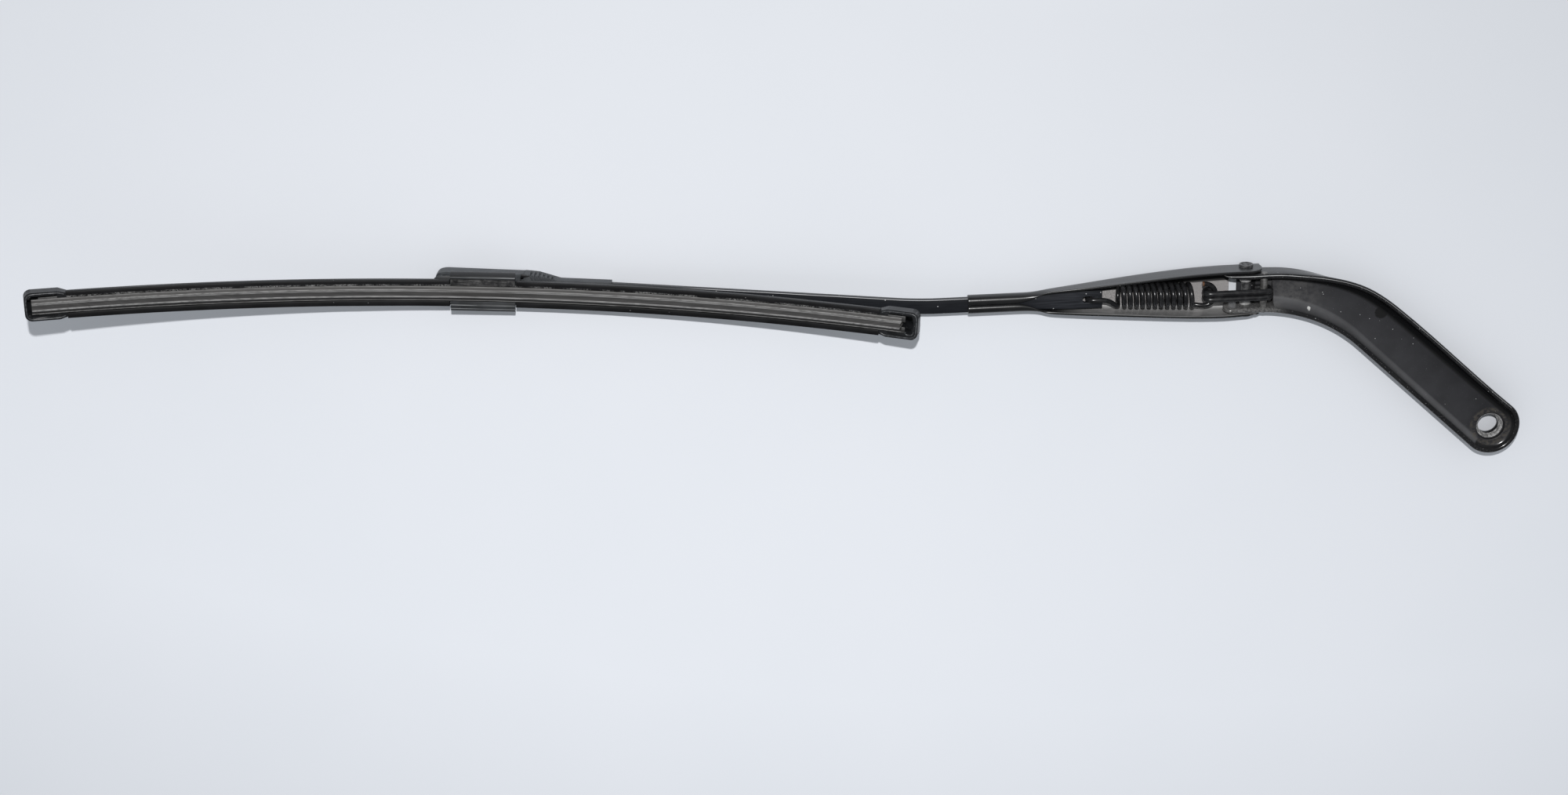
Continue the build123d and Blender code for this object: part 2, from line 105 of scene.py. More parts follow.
def taken(name, node, place, flat=0.6):
    """A copy of a carried-over solid, in millimetres in a place of its own, its triangles joined into faces."""
    piece = nodes[node].copy()
    piece.data = nodes[node].data.copy()
    piece.name = name
    piece.parent = None
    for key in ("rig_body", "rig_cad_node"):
        del piece[key]
    piece.data.materials.clear()
    bpy.context.scene.collection.objects.link(piece)
    alone(piece)
    piece.matrix_world = place.inverted()
    settle()
    mode("EDIT")
    bpy.ops.mesh.select_all(action="SELECT")
    bpy.ops.mesh.remove_doubles(threshold=0.002)
    bpy.ops.mesh.dissolve_limited(angle_limit=math.radians(flat))
    mode("OBJECT")
    return piece


def pick(piece, kind, rule):
    """Edit mode with the faces or edges selected whose middle and direction a rule accepts."""
    bpy.context.view_layer.objects.active = piece
    mode("EDIT")
    bpy.ops.mesh.select_mode(type=kind)
    bpy.ops.mesh.select_all(action="DESELECT")
    mode("OBJECT")
    mesh = piece.data
    for face in mesh.polygons if kind == "FACE" else []:
        face.select = rule(face.center, face.normal)
    for edge in mesh.edges if kind == "EDGE" else []:
        a, b = (mesh.vertices[i].co for i in edge.vertices)
        edge.select = rule((a + b) / 2, b - a)
    mode("EDIT")


def round_edges(piece, width, segments=3, sharp=28.0):
    """Rolls every edge sharper than an angle over a small radius."""
    bpy.context.view_layer.objects.active = piece
    mode("EDIT")
    bpy.ops.mesh.select_mode(type="EDGE")
    bpy.ops.mesh.select_all(action="DESELECT")
    bpy.ops.mesh.edges_select_sharp(sharpness=math.radians(sharp))
    bpy.ops.mesh.bevel(offset=width, segments=segments, affect="EDGES", clamp_overlap=True)
    mode("OBJECT")


def fit(piece, place, body, slot, finish, *replaced, smooth=35.0):
    """Puts a finished piece in its place in the frame with its shading and finish."""
    alone(piece)
    piece.matrix_world = place
    settle()
    bpy.ops.object.shade_smooth_by_angle(angle=math.radians(smooth))
    piece.data.materials.clear()
    piece.data.materials.append(finish)
    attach(piece, body)
    if replaced:
        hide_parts(*replaced)


def put(tree, kind, inputs=None, **settings):
    """One shader node with its settings, values and links."""
    node = tree.nodes.new(kind)
    for key, value in settings.items():
        setattr(node, key, value)
    for key, value in (inputs or {}).items():
        if isinstance(value, bpy.types.NodeSocket):
            tree.links.new(value, node.inputs[key])
        else:
            node.inputs[key].default_value = value
    return node


def effect(name, sockets, result):
    """An empty shader node group with named inputs and one output."""
    group = bpy.data.node_groups.new(name, "ShaderNodeTree")
    group.interface.new_socket("Vector", in_out="INPUT", socket_type="NodeSocketVector")
    for label, value in sockets:
        group.interface.new_socket(label, in_out="INPUT", socket_type="NodeSocketFloat").default_value = value
    group.interface.new_socket(result, in_out="OUTPUT", socket_type="NodeSocketFloat")
    return group, group.nodes.new("NodeGroupInput").outputs, group.nodes.new("NodeGroupOutput").inputs


# Specks: scattered round grains, a share of the cells of a Voronoi pattern
specks, given, out = effect("specks", [("Scale", 1.0), ("Size", 0.2), ("Share", 0.5)], "Mask")
cells = put(specks, "ShaderNodeTexVoronoi", {"Vector": given["Vector"], "Scale": given["Scale"]})
grain = put(specks, "ShaderNodeMath", {0: cells.outputs["Distance"], 1: given["Size"]}, operation="LESS_THAN")
tint = put(specks, "ShaderNodeSeparateColor", {"Color": cells.outputs["Color"]})
kept = put(specks, "ShaderNodeMath", {0: tint.outputs["Red"], 1: given["Share"]}, operation="LESS_THAN")
both = put(specks, "ShaderNodeMath", {0: grain.outputs[0], 1: kept.outputs[0]}, operation="MULTIPLY")
specks.links.new(both.outputs[0], out["Mask"])

# Cloud: uneven haze from 0 to 1
cloud, given, out = effect("cloud", [("Scale", 0.1), ("Low", 0.4), ("High", 0.6)], "Mask")
noise = put(cloud, "ShaderNodeTexNoise", {"Vector": given["Vector"], "Scale": given["Scale"], "Detail": 4.0,
                                          "Roughness": 0.6})
ramp = put(cloud, "ShaderNodeMapRange", {"Value": noise.outputs["Fac"], "From Min": given["Low"],
                                         "From Max": given["High"]}, interpolation_type="SMOOTHSTEP")
cloud.links.new(ramp.outputs["Result"], out["Mask"])

# Streaks: the same haze drawn out along the arm
streaks, given, out = effect("streaks", [("Scale", 1.0), ("Low", 0.4), ("High", 0.6)], "Mask")
drawn = put(streaks, "ShaderNodeMapping", {"Vector": given["Vector"], "Scale": (0.05, 1.0, 1.0)})
noise = put(streaks, "ShaderNodeTexNoise", {"Vector": drawn.outputs["Vector"], "Scale": given["Scale"],
                                            "Detail": 3.0})
ramp = put(streaks, "ShaderNodeMapRange", {"Value": noise.outputs["Fac"], "From Min": given["Low"],
                                           "From Max": given["High"]})
streaks.links.new(ramp.outputs["Result"], out["Mask"])

# Peel: fine orange peel of paint and moulded plastic, as a height
peel, given, out = effect("peel", [("Scale", 2.0)], "Height")
fine = put(peel, "ShaderNodeTexNoise", {"Vector": given["Vector"], "Scale": given["Scale"], "Detail": 3.0})
peel.links.new(fine.outputs["Fac"], out["Height"])


def coat(name, rough, origin, turn, metal=0.0):
    """A new finish: its tree, its shader, a place in millimetres from an origin and that place's three parts."""
    finish = bpy.data.materials.new(name)
    finish.use_nodes = True
    tree = finish.node_tree
    shader = tree.nodes["Principled BSDF"]
    shader.inputs["Roughness"].default_value = rough
    shader.inputs["Metallic"].default_value = metal
    where = put(tree, "ShaderNodeTexCoord")
    spot = put(tree, "ShaderNodeMapping", {"Vector": where.outputs["Object"], "Location": origin, "Rotation": turn,
                                           "Scale": (0.001, 0.001, 0.001)}, vector_type="TEXTURE").outputs["Vector"]
    parts = put(tree, "ShaderNodeSeparateXYZ", {"Vector": spot}).outputs
    return finish, tree, shader, spot, parts


def use(tree, group, spot, **inputs):
    """One of the shared effects, placed in a finish."""
    node = put(tree, "ShaderNodeGroup", node_tree=group)
    tree.links.new(spot, node.inputs["Vector"])
    for key, value in inputs.items():
        node.inputs[key].default_value = value
    return node.outputs[0]


def over(tree, mask, under, top):
    """One colour over another where the mask is high."""
    mix = put(tree, "ShaderNodeMix", {"Factor": mask}, data_type="RGBA")
    for place, value in ((6, under), (7, top)):
        if isinstance(value, bpy.types.NodeSocket):
            tree.links.new(value, mix.inputs[place])
        else:
            mix.inputs[place].default_value = (*value, 1)
    return mix.outputs[2]


def mottled(tree, spot, dark, light, scale, low=0.35, high=0.7, kind=cloud):
    """Two colours mixed by haze or streaks."""
    return over(tree, use(tree, kind, spot, Scale=scale, Low=low, High=high), dark, light)


def worked(tree, operation, *values):
    """One sum of values or masks."""
    return put(tree, "ShaderNodeMath", dict(enumerate(values)), operation=operation).outputs[0]


def times(tree, first, *rest):
    """Product of masks or values."""
    for factor in rest:
        first = worked(tree, "MULTIPLY", first, factor)
    return first


def speckled(tree, spot, colour, scale, size, share, cover, grey):
    """Scattered grey grains over a colour."""
    grains = times(tree, use(tree, specks, spot, Scale=scale, Size=size, Share=share), cover)
    return over(tree, grains, colour, (grey, grey, grey))


def span(tree, value, low, high):
    """A share from 0 to 1 laid out between two values."""
    return put(tree, "ShaderNodeMapRange", {"Value": value, "To Min": low, "To Max": high}).outputs["Result"]


def between(tree, value, low, high, soft):
    """1 between two limits of a coordinate, falling off over a soft width."""
    rise = put(tree, "ShaderNodeMapRange", {"Value": value, "From Min": low - soft, "From Max": low + soft},
               interpolation_type="SMOOTHSTEP")
    fall = put(tree, "ShaderNodeMapRange", {"Value": value, "From Min": high - soft, "From Max": high + soft,
                                            "To Min": 1.0, "To Max": 0.0}, interpolation_type="SMOOTHSTEP")
    return times(tree, rise.outputs["Result"], fall.outputs["Result"])


def round_about(tree, spot, centre):
    """Distance from an upright line through a point."""
    away = put(tree, "ShaderNodeVectorMath", {0: spot, 1: centre}, operation="SUBTRACT")
    flat = put(tree, "ShaderNodeVectorMath", {0: away.outputs["Vector"], 1: (1, 1, 0)}, operation="MULTIPLY")
    return put(tree, "ShaderNodeVectorMath", {0: flat.outputs["Vector"]}, operation="LENGTH").outputs["Value"]


def dye(tree, shader, colour):
    """Gives a shader its colour."""
    tree.links.new(colour, shader.inputs["Base Color"])


def relief(tree, shader, spot, scale, strength, depth):
    """Orange peel as a bump on a shader, its depth in millimetres."""
    height = use(tree, peel, spot, Scale=scale)
    bump = put(tree, "ShaderNodeBump", {"Height": height, "Strength": strength, "Distance": depth * 0.001})
    tree.links.new(bump.outputs["Normal"], shader.inputs["Normal"])


def facing(tree):
    """How far the surface faces across the arm and up, in the arm's frame."""
    shape = put(tree, "ShaderNodeNewGeometry")
    turned = put(tree, "ShaderNodeMapping", {"Vector": shape.outputs["Normal"], "Rotation": (0, 0, -arm_yaw)},
                 vector_type="VECTOR")
    return put(tree, "ShaderNodeSeparateXYZ", {"Vector": turned.outputs["Vector"]}).outputs[1:]


head_paint, tree, shader, spot, (u, v, z) = coat("head_paint", 0.3, mouth, (0, 0, arm_yaw))
aside, up = facing(tree)
band = put(tree, "ShaderNodeAttribute", attribute_name="band").outputs["Fac"]
bank = put(tree, "ShaderNodeAttribute", attribute_name="bank").outputs["Fac"]
colour = mottled(tree, spot, (0.012, 0.012, 0.013), (0.018, 0.018, 0.019), scale=0.06)
floor = times(tree, between(tree, up, 0.93, 2, 0.05), between(tree, z, -20, 1.0, 0.4))
colour = over(tree, floor, colour, mottled(tree, spot, (0.015, 0.015, 0.018), (0.022, 0.022, 0.026), scale=0.05,
                                           low=0.3, high=0.7))
grimy = times(tree, between(tree, u, 14, 44, 14), floor, use(tree, cloud, spot, Scale=0.3, Low=0.25, High=0.7))
colour = over(tree, times(tree, grimy, 0.4), colour, (0.13, 0.125, 0.12))
# Painted light: the lower bank is painted paler in soft patches, where light falls on it.
hazy = span(tree, use(tree, cloud, spot, Scale=0.05, Low=0.2, High=0.8), 0.55, 0.85)
colour = over(tree, times(tree, bank, hazy), colour, (0.105, 0.105, 0.110))
ring_r = round_about(tree, spot, bore)
ringed = times(tree, between(tree, ring_r, 9.4, 12.6, 0.8), use(tree, cloud, spot, Scale=0.5, Low=0.35, High=0.65))
colour = over(tree, times(tree, ringed, 0.6), colour, (0.085, 0.074, 0.058))
dust_fine = times(tree, use(tree, specks, spot, Scale=1.1, Size=0.16, Share=0.16), floor, 0.35)
colour = over(tree, dust_fine, colour, (0.15, 0.15, 0.15))
colour = speckled(tree, spot, colour, scale=0.24, size=0.065, share=0.55, cover=0.8, grey=0.42)
# Painted shade: the band under the upper rim is painted near black.
colour = over(tree, times(tree, band, 0.96), colour, (0.0025, 0.0025, 0.003))
torn = put(tree, "ShaderNodeVectorMath", {0: spot, 1: use(tree, peel, spot, Scale=0.5)}, operation="ADD")
daub = between(tree, round_about(tree, torn.outputs["Vector"], (84.6, -18.0, 0)), -1, 3.9, 0.5)
open_side = between(tree, z, -9.6, 9, 0.4)
colour = over(tree, times(tree, daub, open_side), colour, (0.0025, 0.0025, 0.003))
chip = between(tree, round_about(tree, torn.outputs["Vector"], (39.6, -12.9, 0)), -1, 1.0, 0.25)
colour = over(tree, times(tree, chip, open_side), colour, (0.6, 0.6, 0.58))
lug_worn = times(tree, between(tree, u, -30, 19, 7), between(tree, v, -20, -8.2, 0.6),
                 use(tree, cloud, spot, Scale=0.9, Low=0.2, High=0.75))
rim_worn = times(tree, between(tree, z, 2.3, 4, 0.25), between(tree, aside, -0.3, 2, 0.2),
                 use(tree, cloud, spot, Scale=1.3, Low=0.635, High=0.685))
colour = over(tree, times(tree, lug_worn, 0.85), colour, (0.24, 0.235, 0.23))
colour = over(tree, rim_worn, colour, (0.4, 0.39, 0.38))
# Painted highlight: a pale line along the crest of the rim, broken up in patches.
edge = put(tree, "ShaderNodeAttribute", attribute_name="edge").outputs["Fac"]
line = times(tree, between(tree, edge, 0.78, 2, 0.12), use(tree, cloud, spot, Scale=0.12, Low=0.2, High=0.45))
colour = over(tree, line, colour, (0.5, 0.5, 0.5))
worn = worked(tree, "MAXIMUM", times(tree, lug_worn, 0.5), rim_worn)
dye(tree, shader, colour)
tree.links.new(times(tree, worn, 0.5), shader.inputs["Metallic"])
matt = span(tree, worked(tree, "MAXIMUM", floor, bank), 0.2, 0.6)
tree.links.new(matt, shader.inputs["Roughness"])
relief(tree, shader, spot, scale=2.2, strength=0.06, depth=0.15)

end_r, lug_half, fork_end = 17.3, 12.45, 16.5
wall_wide, roll, roll_z, end_bevel = 3.2, 1.6, 1.4, 5.0
floor_z, floor_rise = -7.5, 6.9
back_z, back_fall = -10.98, 5.0
bend_r, bend_steps, far_steps = 104.0, 26, 7
reach = bore.xy.length


def floor_at(at):
    """Height of the pocket's floor, a plane that rises towards the bore."""
    return floor_z + floor_rise * at.dot(bore.xy) / reach ** 2


def back_at(at):
    """Height of the head's back, a plane that falls towards the bore."""
    return back_z - back_fall * at.dot(bore.xy) / reach ** 2


def head_side(sign):
    """Points along one side of the head's plan from the fork to the round end, each with its outward direction."""
    lean = head_turn - sign * math.radians(1.2)
    out = Vector((math.sin(lean), math.cos(lean))) * sign
    touch = bore.xy + out * end_r
    corner = touch.x - (sign * lug_half - touch.y) / math.tan(lean)
    radius = bend_r + sign * lug_half
    start = corner - radius * math.tan(lean / 2)
    centre = Vector((start, sign * lug_half - radius))
    line, begin = [], math.asin((fork_end - start) / radius)
    for k in range(bend_steps + 1):
        a = begin + (lean - begin) * k / bend_steps
        turned = Vector((math.sin(a), math.cos(a)))
        line.append((centre + turned * radius, turned * sign))
    bent = line[-1][0]
    return line + [(bent + (touch - bent) * k / far_steps, out) for k in range(1, far_steps + 1)]


def head_wall(at, out, spread, bank_r, bevel):
    """Section of one wall from its foot over the rolled rim and down the bank to the floor's edge."""
    foot = back_at(at) + 0.85 * bevel
    points = [(0.5 * spread, foot), (-0.25 * spread, (foot + roll_z) / 2)]
    for k in range(9):
        a = math.pi * k / 8
        points.append((roll - spread - roll * math.cos(a), roll_z + roll * math.sin(a)))
    deep = roll_z - floor_at(at - out * (wall_wide - spread + bank_r))
    for k in range(1, 7):
        a = math.pi * k / 12
        points.append((wall_wide - spread + bank_r * (1 - math.cos(a)), roll_z - deep * math.sin(a)))
    return [(*(at - out * inward), height) for inward, height in points]


def ease(share):
    """Slow start and stop between 0 and 1."""
    share = min(1.0, max(0.0, share))
    return share * share * (3 - 2 * share)


spots, sheets, band_at, bank_at, edge_at = [], [], [], [], []


def add_row(points, band=(), bank=(), edge=()):
    """Puts one row of points in the casting's mesh, with its share of painted shade, of painted light on the bank
    and of painted highlight on the rim's crest.
    """
    first = len(spots)
    spots.extend(points)
    band_at.extend(list(band) + [0.0] * (len(points) - len(band)))
    bank_at.extend(list(bank) + [0.0] * (len(points) - len(bank)))
    edge_at.extend(list(edge) + [0.0] * (len(points) - len(edge)))
    return list(range(first, first + len(points)))


def skin(row, after, closed=False):
    """Faces between two rows of points."""
    count = len(row)
    for k in range(count if closed else count - 1):
        sheets.append((row[k], row[(k + 1) % count], after[(k + 1) % count], after[k]))


# Shares along a wall's section: painted shade under the upper rim, painted light on the lower bank, painted
# highlight on the rim's crest
dark = [0, 0, 0, 0, 0, 0, 0, 0, 0.4, 1, 1, 1, 1, 1, 1, 1, 0.0]
pale = [0, 0, 0, 0, 0, 0, 0, 0, 0, 0.2, 0.6, 1, 1, 1, 1, 0.8, 0.15]
painted_sheen = [0, 0, 0, 0, 0.2, 1, 0.2]
sides = list(zip(head_side(1), head_side(-1)))
rows = []
# The long side's rim leans out over the bend, and the foot's bevel grows from the fork on
for index, ((upper, upper_out), (lower, lower_out)) in enumerate(sides):
    share = index / (len(sides) - 1)
    spread = 4.0 * ease((share - 0.12) / 0.5) * (1 - 0.7 * ease((share - 0.8) / 0.2))
    bevel = 0.8 + 4.2 * ease(share / 0.3)
    bank = 4.4 - 0.4 * share + 0.5 * spread
    shine = [r * (1 - 0.14 * ease(share / 0.5)) for r in painted_sheen]
    back_edge = [upper - upper_out * bevel, lower - lower_out * bevel]
    rows.append([add_row(head_wall(upper, upper_out, spread, bank, bevel), dark, (), shine),
                 add_row(head_wall(lower, lower_out, 0, 5.6 - 1.6 * ease(share), bevel), (), pale),
                 add_row([(*at, back_at(at)) for at in back_edge])])
last = len(rows) - 1
for index, (before, after) in enumerate(zip(rows, rows[1:])):
    skin(before[0], after[0])
    skin(before[1], after[1])
    for side in (0, 1):
        sheets.append((before[side][0], after[side][0], after[2][side], before[2][side]))
    if index < last - 1:
        sheets.append((before[0][-1], after[0][-1], after[1][-1], before[1][-1]))
        sheets.append((before[2][0], after[2][0], after[2][1], before[2][1]))

# The round end turns about the bore, whose steps run down to the nut's recess
start_a = math.atan2(sides[-1][0][1].y, sides[-1][0][1].x)
end_a = math.atan2(sides[-1][1][1].y, sides[-1][1][1].x)
steps = 36
bore_steps = [(9.6, 0), (9.1, -0.2), (8.9, -0.7), (8.9, -2.0), (8.4, -2.0), (6.5, -5.0), (6.5, -8.5), (12.0, -8.5),
              (12.0, None)]
bore_rings = []
for k in range(2 * steps):
    if k <= steps:
        a = start_a + (end_a - start_a) * k / steps
    else:
        a = end_a + (start_a - 2 * math.pi - end_a) * (k - steps) / steps
    out = Vector((math.cos(a), math.sin(a)))
    ring = []
    for r, height in bore_steps:
        at = bore.xy + out * r
        ring.append((*at, back_at(at) if height is None else height if height < -1.5 else floor_at(at) + height))
    bore_rings.append(add_row(ring))
for k in range(2 * steps):
    skin(bore_rings[k], bore_rings[(k + 1) % (2 * steps)])
turned = [(rows[-1][0], rows[-1][2][0])]
for k in range(1, steps):
    a = start_a + (end_a - start_a) * k / steps
    out = Vector((math.cos(a), math.sin(a)))
    at = bore.xy + out * end_r
    left = 1 - ease(k / steps / 0.4)
    foot = at - out * end_bevel
    wall = add_row(head_wall(at, out, 1.2 * left, 4.0 + 0.6 * left, end_bevel), [d * left for d in dark])
    turned.append((wall, add_row([(*foot, back_at(foot))])[0]))
turned.append((rows[-1][1], rows[-1][2][1]))
for k, ((wall, back), (wall_after, back_after)) in enumerate(zip(turned, turned[1:])):
    skin(wall, wall_after)
    sheets.append((wall[0], wall_after[0], back_after, back))
    sheets.append((wall[-1], wall_after[-1], bore_rings[k + 1][0], bore_rings[k][0]))
    sheets.append((back, back_after, bore_rings[k + 1][-1], bore_rings[k][-1]))
near_half = [bore_rings[k % (2 * steps)] for k in range(steps, 2 * steps + 1)]
before, after = rows[-2:]
sheets.append([before[0][-1], before[1][-1], after[1][-1]] + [ring[0] for ring in near_half] + [after[0][-1]])
sheets.append([before[2][0], before[2][1], after[2][1]] + [ring[-1] for ring in near_half] + [after[2][0]])

# Lugs run on from the walls past the fork: place, foot, top, then inset and thickness of the upper and lower one
lug_run = [(13, -10.8, 3, 0, 3.2, 0, 3.2), (9, -11.2, 3, 0, 3.2, 0, 3.2), (4, -13.4, 3, 0, 3.4, 0, 3.4),
           (0, -13.7, 3, 0, 3.4, 0, 3.4), (-4, -13.7, 3, 0, 3.0, 0, 3.4), (-8, -13.7, 3, 0, 2.4, 0, 3.3),
           (-10.7, -13.5, 2.9, 0.05, 1.9, 0.2, 3.0), (-12.3, -10.5, 2.4, 0.1, 1.5, 0.5, 2.6),
           (-13.5, -7.0, 1.4, 0.2, 1.0, 0.9, 2.0), (-14.2, -4.2, -0.2, 0.3, 0.6, 1.2, 1.3),
           (-14.45, -2.6, -1.6, 0.4, 0.4, 1.5, 0.7)]
inner_feet = []
for side, sign, bend_u, radius in ((0, 1, 13.3, 116.45), (1, -1, 5.5, 91.55)):
    joint = rows[0][side][:11]
    inner_feet += add_row([(spots[joint[10]][0], spots[joint[10]][1], spots[joint[0]][2])])
    before = joint + inner_feet[-1:]
    for x, foot, top, *both in lug_run:
        inset, thick = both[2 * side:2 * side + 2]
        points = [(inset, foot), (inset, (foot + top) / 2)]
        for k in range(9):
            a = math.pi * k / 8
            points.append((inset + thick / 2 * (1 - math.cos(a)), top - thick / 2 * (1 - math.sin(a))))
        points.append((inset + thick, foot))
        drop = max(0, x - bend_u) ** 2 / (2 * radius)
        points = [(x, sign * (lug_half - inward) - drop, height) for inward, height in points]
        after = add_row(points, (), (), painted_sheen if sign > 0 else ())
        skin(before, after, True)
        before = after
    sheets.append(before)
upper, lower, back = rows[0]
sheets.append(upper[10:] + lower[:9:-1] + [inner_feet[1], lower[0], back[1], back[0], upper[0], inner_feet[0]])
# A web of the casting closes the bottom of the fork, clear of the link's hook
web = [add_row([(x, -9.6, low), (x, -9.6, high), (x, 9.6, high), (x, 9.6, low)]) for x, low, high in
       ((-4.5, -13.2, -12.2), (-4.0, -13.4, -11.7), (4.2, -13.4, -11.4), (6.6, -12.4, -9.3), (16.6, -11.4, -9.2))]
for before, after in zip(web, web[1:]):
    skin(before, after, True)
sheets += [web[0], web[-1]]
cast = bpy.data.meshes.new("head_casting")
cast.from_pydata(spots, [], sheets)
head = bpy.data.objects.new("head_casting", cast)
bpy.context.scene.collection.objects.link(head)
for label, values in (("band", band_at), ("bank", bank_at), ("edge", edge_at)):
    cast.attributes.new(label, "FLOAT", "POINT").data.foreach_set("value", values)
pick(head, "FACE", lambda c, d: True)
bpy.ops.mesh.normals_make_consistent(inside=False)
mode("OBJECT")
fit(head, in_arm, "head", "head_paint", head_paint, "arm_head", smooth=38.0)

# Serrated taper in the bore: a ring of fine bare-metal teeth broached in the casting.
# The teeth bite into the spindle's own cone when the nut is done up.
# Its paint has been scraped off, so it shines.
teeth = 120
alone()
bpy.ops.mesh.primitive_circle_add(vertices=teeth, radius=6.3, location=(bore.x, bore.y, -4.95))
serration = bpy.context.object
serration.name = "bore_serration"
settle()
mode("EDIT")
bpy.ops.mesh.select_mode(type="VERT")
bpy.ops.mesh.select_all(action="SELECT")
bpy.ops.mesh.extrude_region_move(TRANSFORM_OT_translate={"value": (0, 0, 2.9)})
bpy.ops.transform.resize(value=(1.265, 1.265, 1), center_override=(bore.x, bore.y, 0))
mode("OBJECT")
for vertex in serration.data.vertices:
    vertex.select = vertex.index % 2 == 0
mode("EDIT")
bpy.ops.transform.resize(value=(1.045, 1.045, 1), center_override=(bore.x, bore.y, 0))
mode("OBJECT")
bright_steel, tree, shader, spot, _ = coat("bright_steel", 0.34, mouth, (0, 0, arm_yaw), metal=0.3)
colour = mottled(tree, spot, (0.24, 0.235, 0.23), (0.62, 0.61, 0.60), scale=0.6, low=0.4, high=0.6)
dye(tree, shader, colour)
fit(serration, in_arm, "head", "head_paint", bright_steel, smooth=5.0)

# Cross pin and hinge bushes: turned steel, the pin pressed through the head's walls to take the spring's pull.
# The two plain bushes line the lugs for the hinge rivet.
# All are bare metal gone dull and a little brown.
dull_steel, tree, shader, spot, _ = coat("dull_steel", 0.45, mouth, (0, 0, arm_yaw), metal=0.55)
colour = mottled(tree, spot, (0.10, 0.098, 0.095), (0.21, 0.205, 0.20), scale=0.35, low=0.35, high=0.62)
colour = over(tree, use(tree, specks, spot, Scale=1.2, Size=0.2, Share=0.2), colour, (0.42, 0.40, 0.38))
dye(tree, shader, colour)
relief(tree, shader, spot, scale=3.0, strength=0.2, depth=0.1)
light_steel, tree, shader, spot, _ = coat("light_steel", 0.4, mouth, (0, 0, arm_yaw), metal=0.1)
colour = mottled(tree, spot, (0.27, 0.268, 0.265), (0.46, 0.455, 0.45), scale=0.5, low=0.35, high=0.62)
dye(tree, shader, colour)
pin = taken("cross_pin", "spring_pin", in_arm)
round_edges(pin, 0.5)
fit(pin, in_arm, "head", "bare_steel", dull_steel, "spring_pin")
for side in ("upper", "lower"):
    bush = taken("bush_" + side, "hinge_bush_" + side, in_arm)
    round_edges(bush, 0.25, 2)
    fit(bush, in_arm, "head", "bare_steel", light_steel, "hinge_bush_" + side)

# Arm channel: one pressing of steel sheet, open underneath, its narrow end folded flat round the bar and crimped.
# Satin black paint outside with a painted sheen on the upper wall's outer face; grey road dust crusted on the
# floor, painted pale partly as a painted reflection, a painted shadow along the upper wall, and painted light with
# streaks of dust down the lower wall.
# The hinge rivet carries it on the head.
channel_paint, tree, shader, spot, (u, v, z) = coat("channel_paint", 0.27, mouth, (0, 0, arm_yaw))
aside, up = facing(tree)
colour = mottled(tree, spot, (0.011, 0.0113, 0.012), (0.016, 0.0163, 0.017), scale=0.05)
# Painted sheen: the upper wall's outer face, turned towards the lamp, is painted a lighter streaky grey.
outside = times(tree, between(tree, v, 3.0, 30.0, 0.4), between(tree, aside, 0.6, 2, 0.15),
                between(tree, u, -135, 30, 20))
colour = over(tree, times(tree, outside, use(tree, streaks, spot, Scale=0.25, Low=0.1, High=0.7)), colour,
              (0.046, 0.047, 0.049))
# Grey road dust on the floor, painted pale partly as a painted reflection of the lamp.
dust_and_reflection = times(tree, between(tree, u, -112, 20, 4), between(tree, up, 0.45, 2, 0.25), between(tree, z, -16, -9, 1.0))
sand = use(tree, peel, spot, Scale=3.2)
sand = put(tree, "ShaderNodeMapRange", {"Value": sand, "From Min": 0.36, "From Max": 0.64}).outputs["Result"]
colour = over(tree, dust_and_reflection, colour, over(tree, sand, (0.14, 0.135, 0.132), (0.50, 0.475, 0.47)))
# Painted shadow: the floor is painted near black beyond a line along the upper wall, where its shadow falls.
shadow_edge = worked(tree, "MULTIPLY_ADD", u, 0.026, 4.3)
past_shadow_edge = worked(tree, "SUBTRACT", v, shadow_edge)
colour = over(tree, times(tree, dust_and_reflection, between(tree, past_shadow_edge, 0, 40, 0.5), 0.97), colour, (0.006, 0.006, 0.006))
# Painted light with streaks of dust: the lower wall's inner face is painted pale grey, palest towards its foot.
lit_low_wall = times(tree, between(tree, u, -108, 20, 14), between(tree, v, -14.2, 0, 0.2),
                 between(tree, aside, 0.3, 2, 0.2))
fade = put(tree, "ShaderNodeMapRange", {"Value": z, "From Min": -13.5, "From Max": 2.6, "To Min": 1.0,
                                        "To Max": 0.3})
streaky = mottled(tree, spot, (0.40, 0.395, 0.39), (0.62, 0.615, 0.61), scale=1.3, low=0.35, high=0.65,
                  kind=streaks)
colour = over(tree, times(tree, lit_low_wall, fade.outputs["Result"]), colour, streaky)
chips = times(tree, between(tree, z, 2.2, 5, 0.2), between(tree, u, -100, 2, 5),
              use(tree, cloud, spot, Scale=1.3, Low=0.68, High=0.73))
colour = over(tree, chips, colour, (0.42, 0.41, 0.40))
dye(tree, shader, colour)
tree.links.new(span(tree, dust_and_reflection, 0.27, 0.75), shader.inputs["Roughness"])
relief(tree, shader, spot, scale=2.0, strength=0.1, depth=0.15)

# Along the arm: place, outer half width, underside of the floor, free edge, how far the walls are folded in
sheet = 1.6
run = [(-172, 5.9, -6.6, 0.6, 1), (-142, 5.9, -6.6, 0.6, 1), (-120, 7.5, -9.0, 1.9, 0), (-98, 9.2, -11.6, 3, 0),
       (-90, 9.86, -12.6, 3, 0), (-70, 11.48, -14.6, 3, 0), (-50, 13.1, -15.6, 3, 0), (-33, 14.27, -16, 3, 0),
       (-16, 14.9, -16, 3, 0), (11, 14.9, -16, 3, 0)]
stations = [-171.9, -171.2, -168, -160, -150, -144, -140, -136.5, -133, -129.5, -126, -122, -116, -108, -99, -90,
            -80, -70, -60, -50, -41, -33, -25, -16, -10.5, -9.2, -8.7, -4, 0, 4, 7.5, 9.6, 10.3]


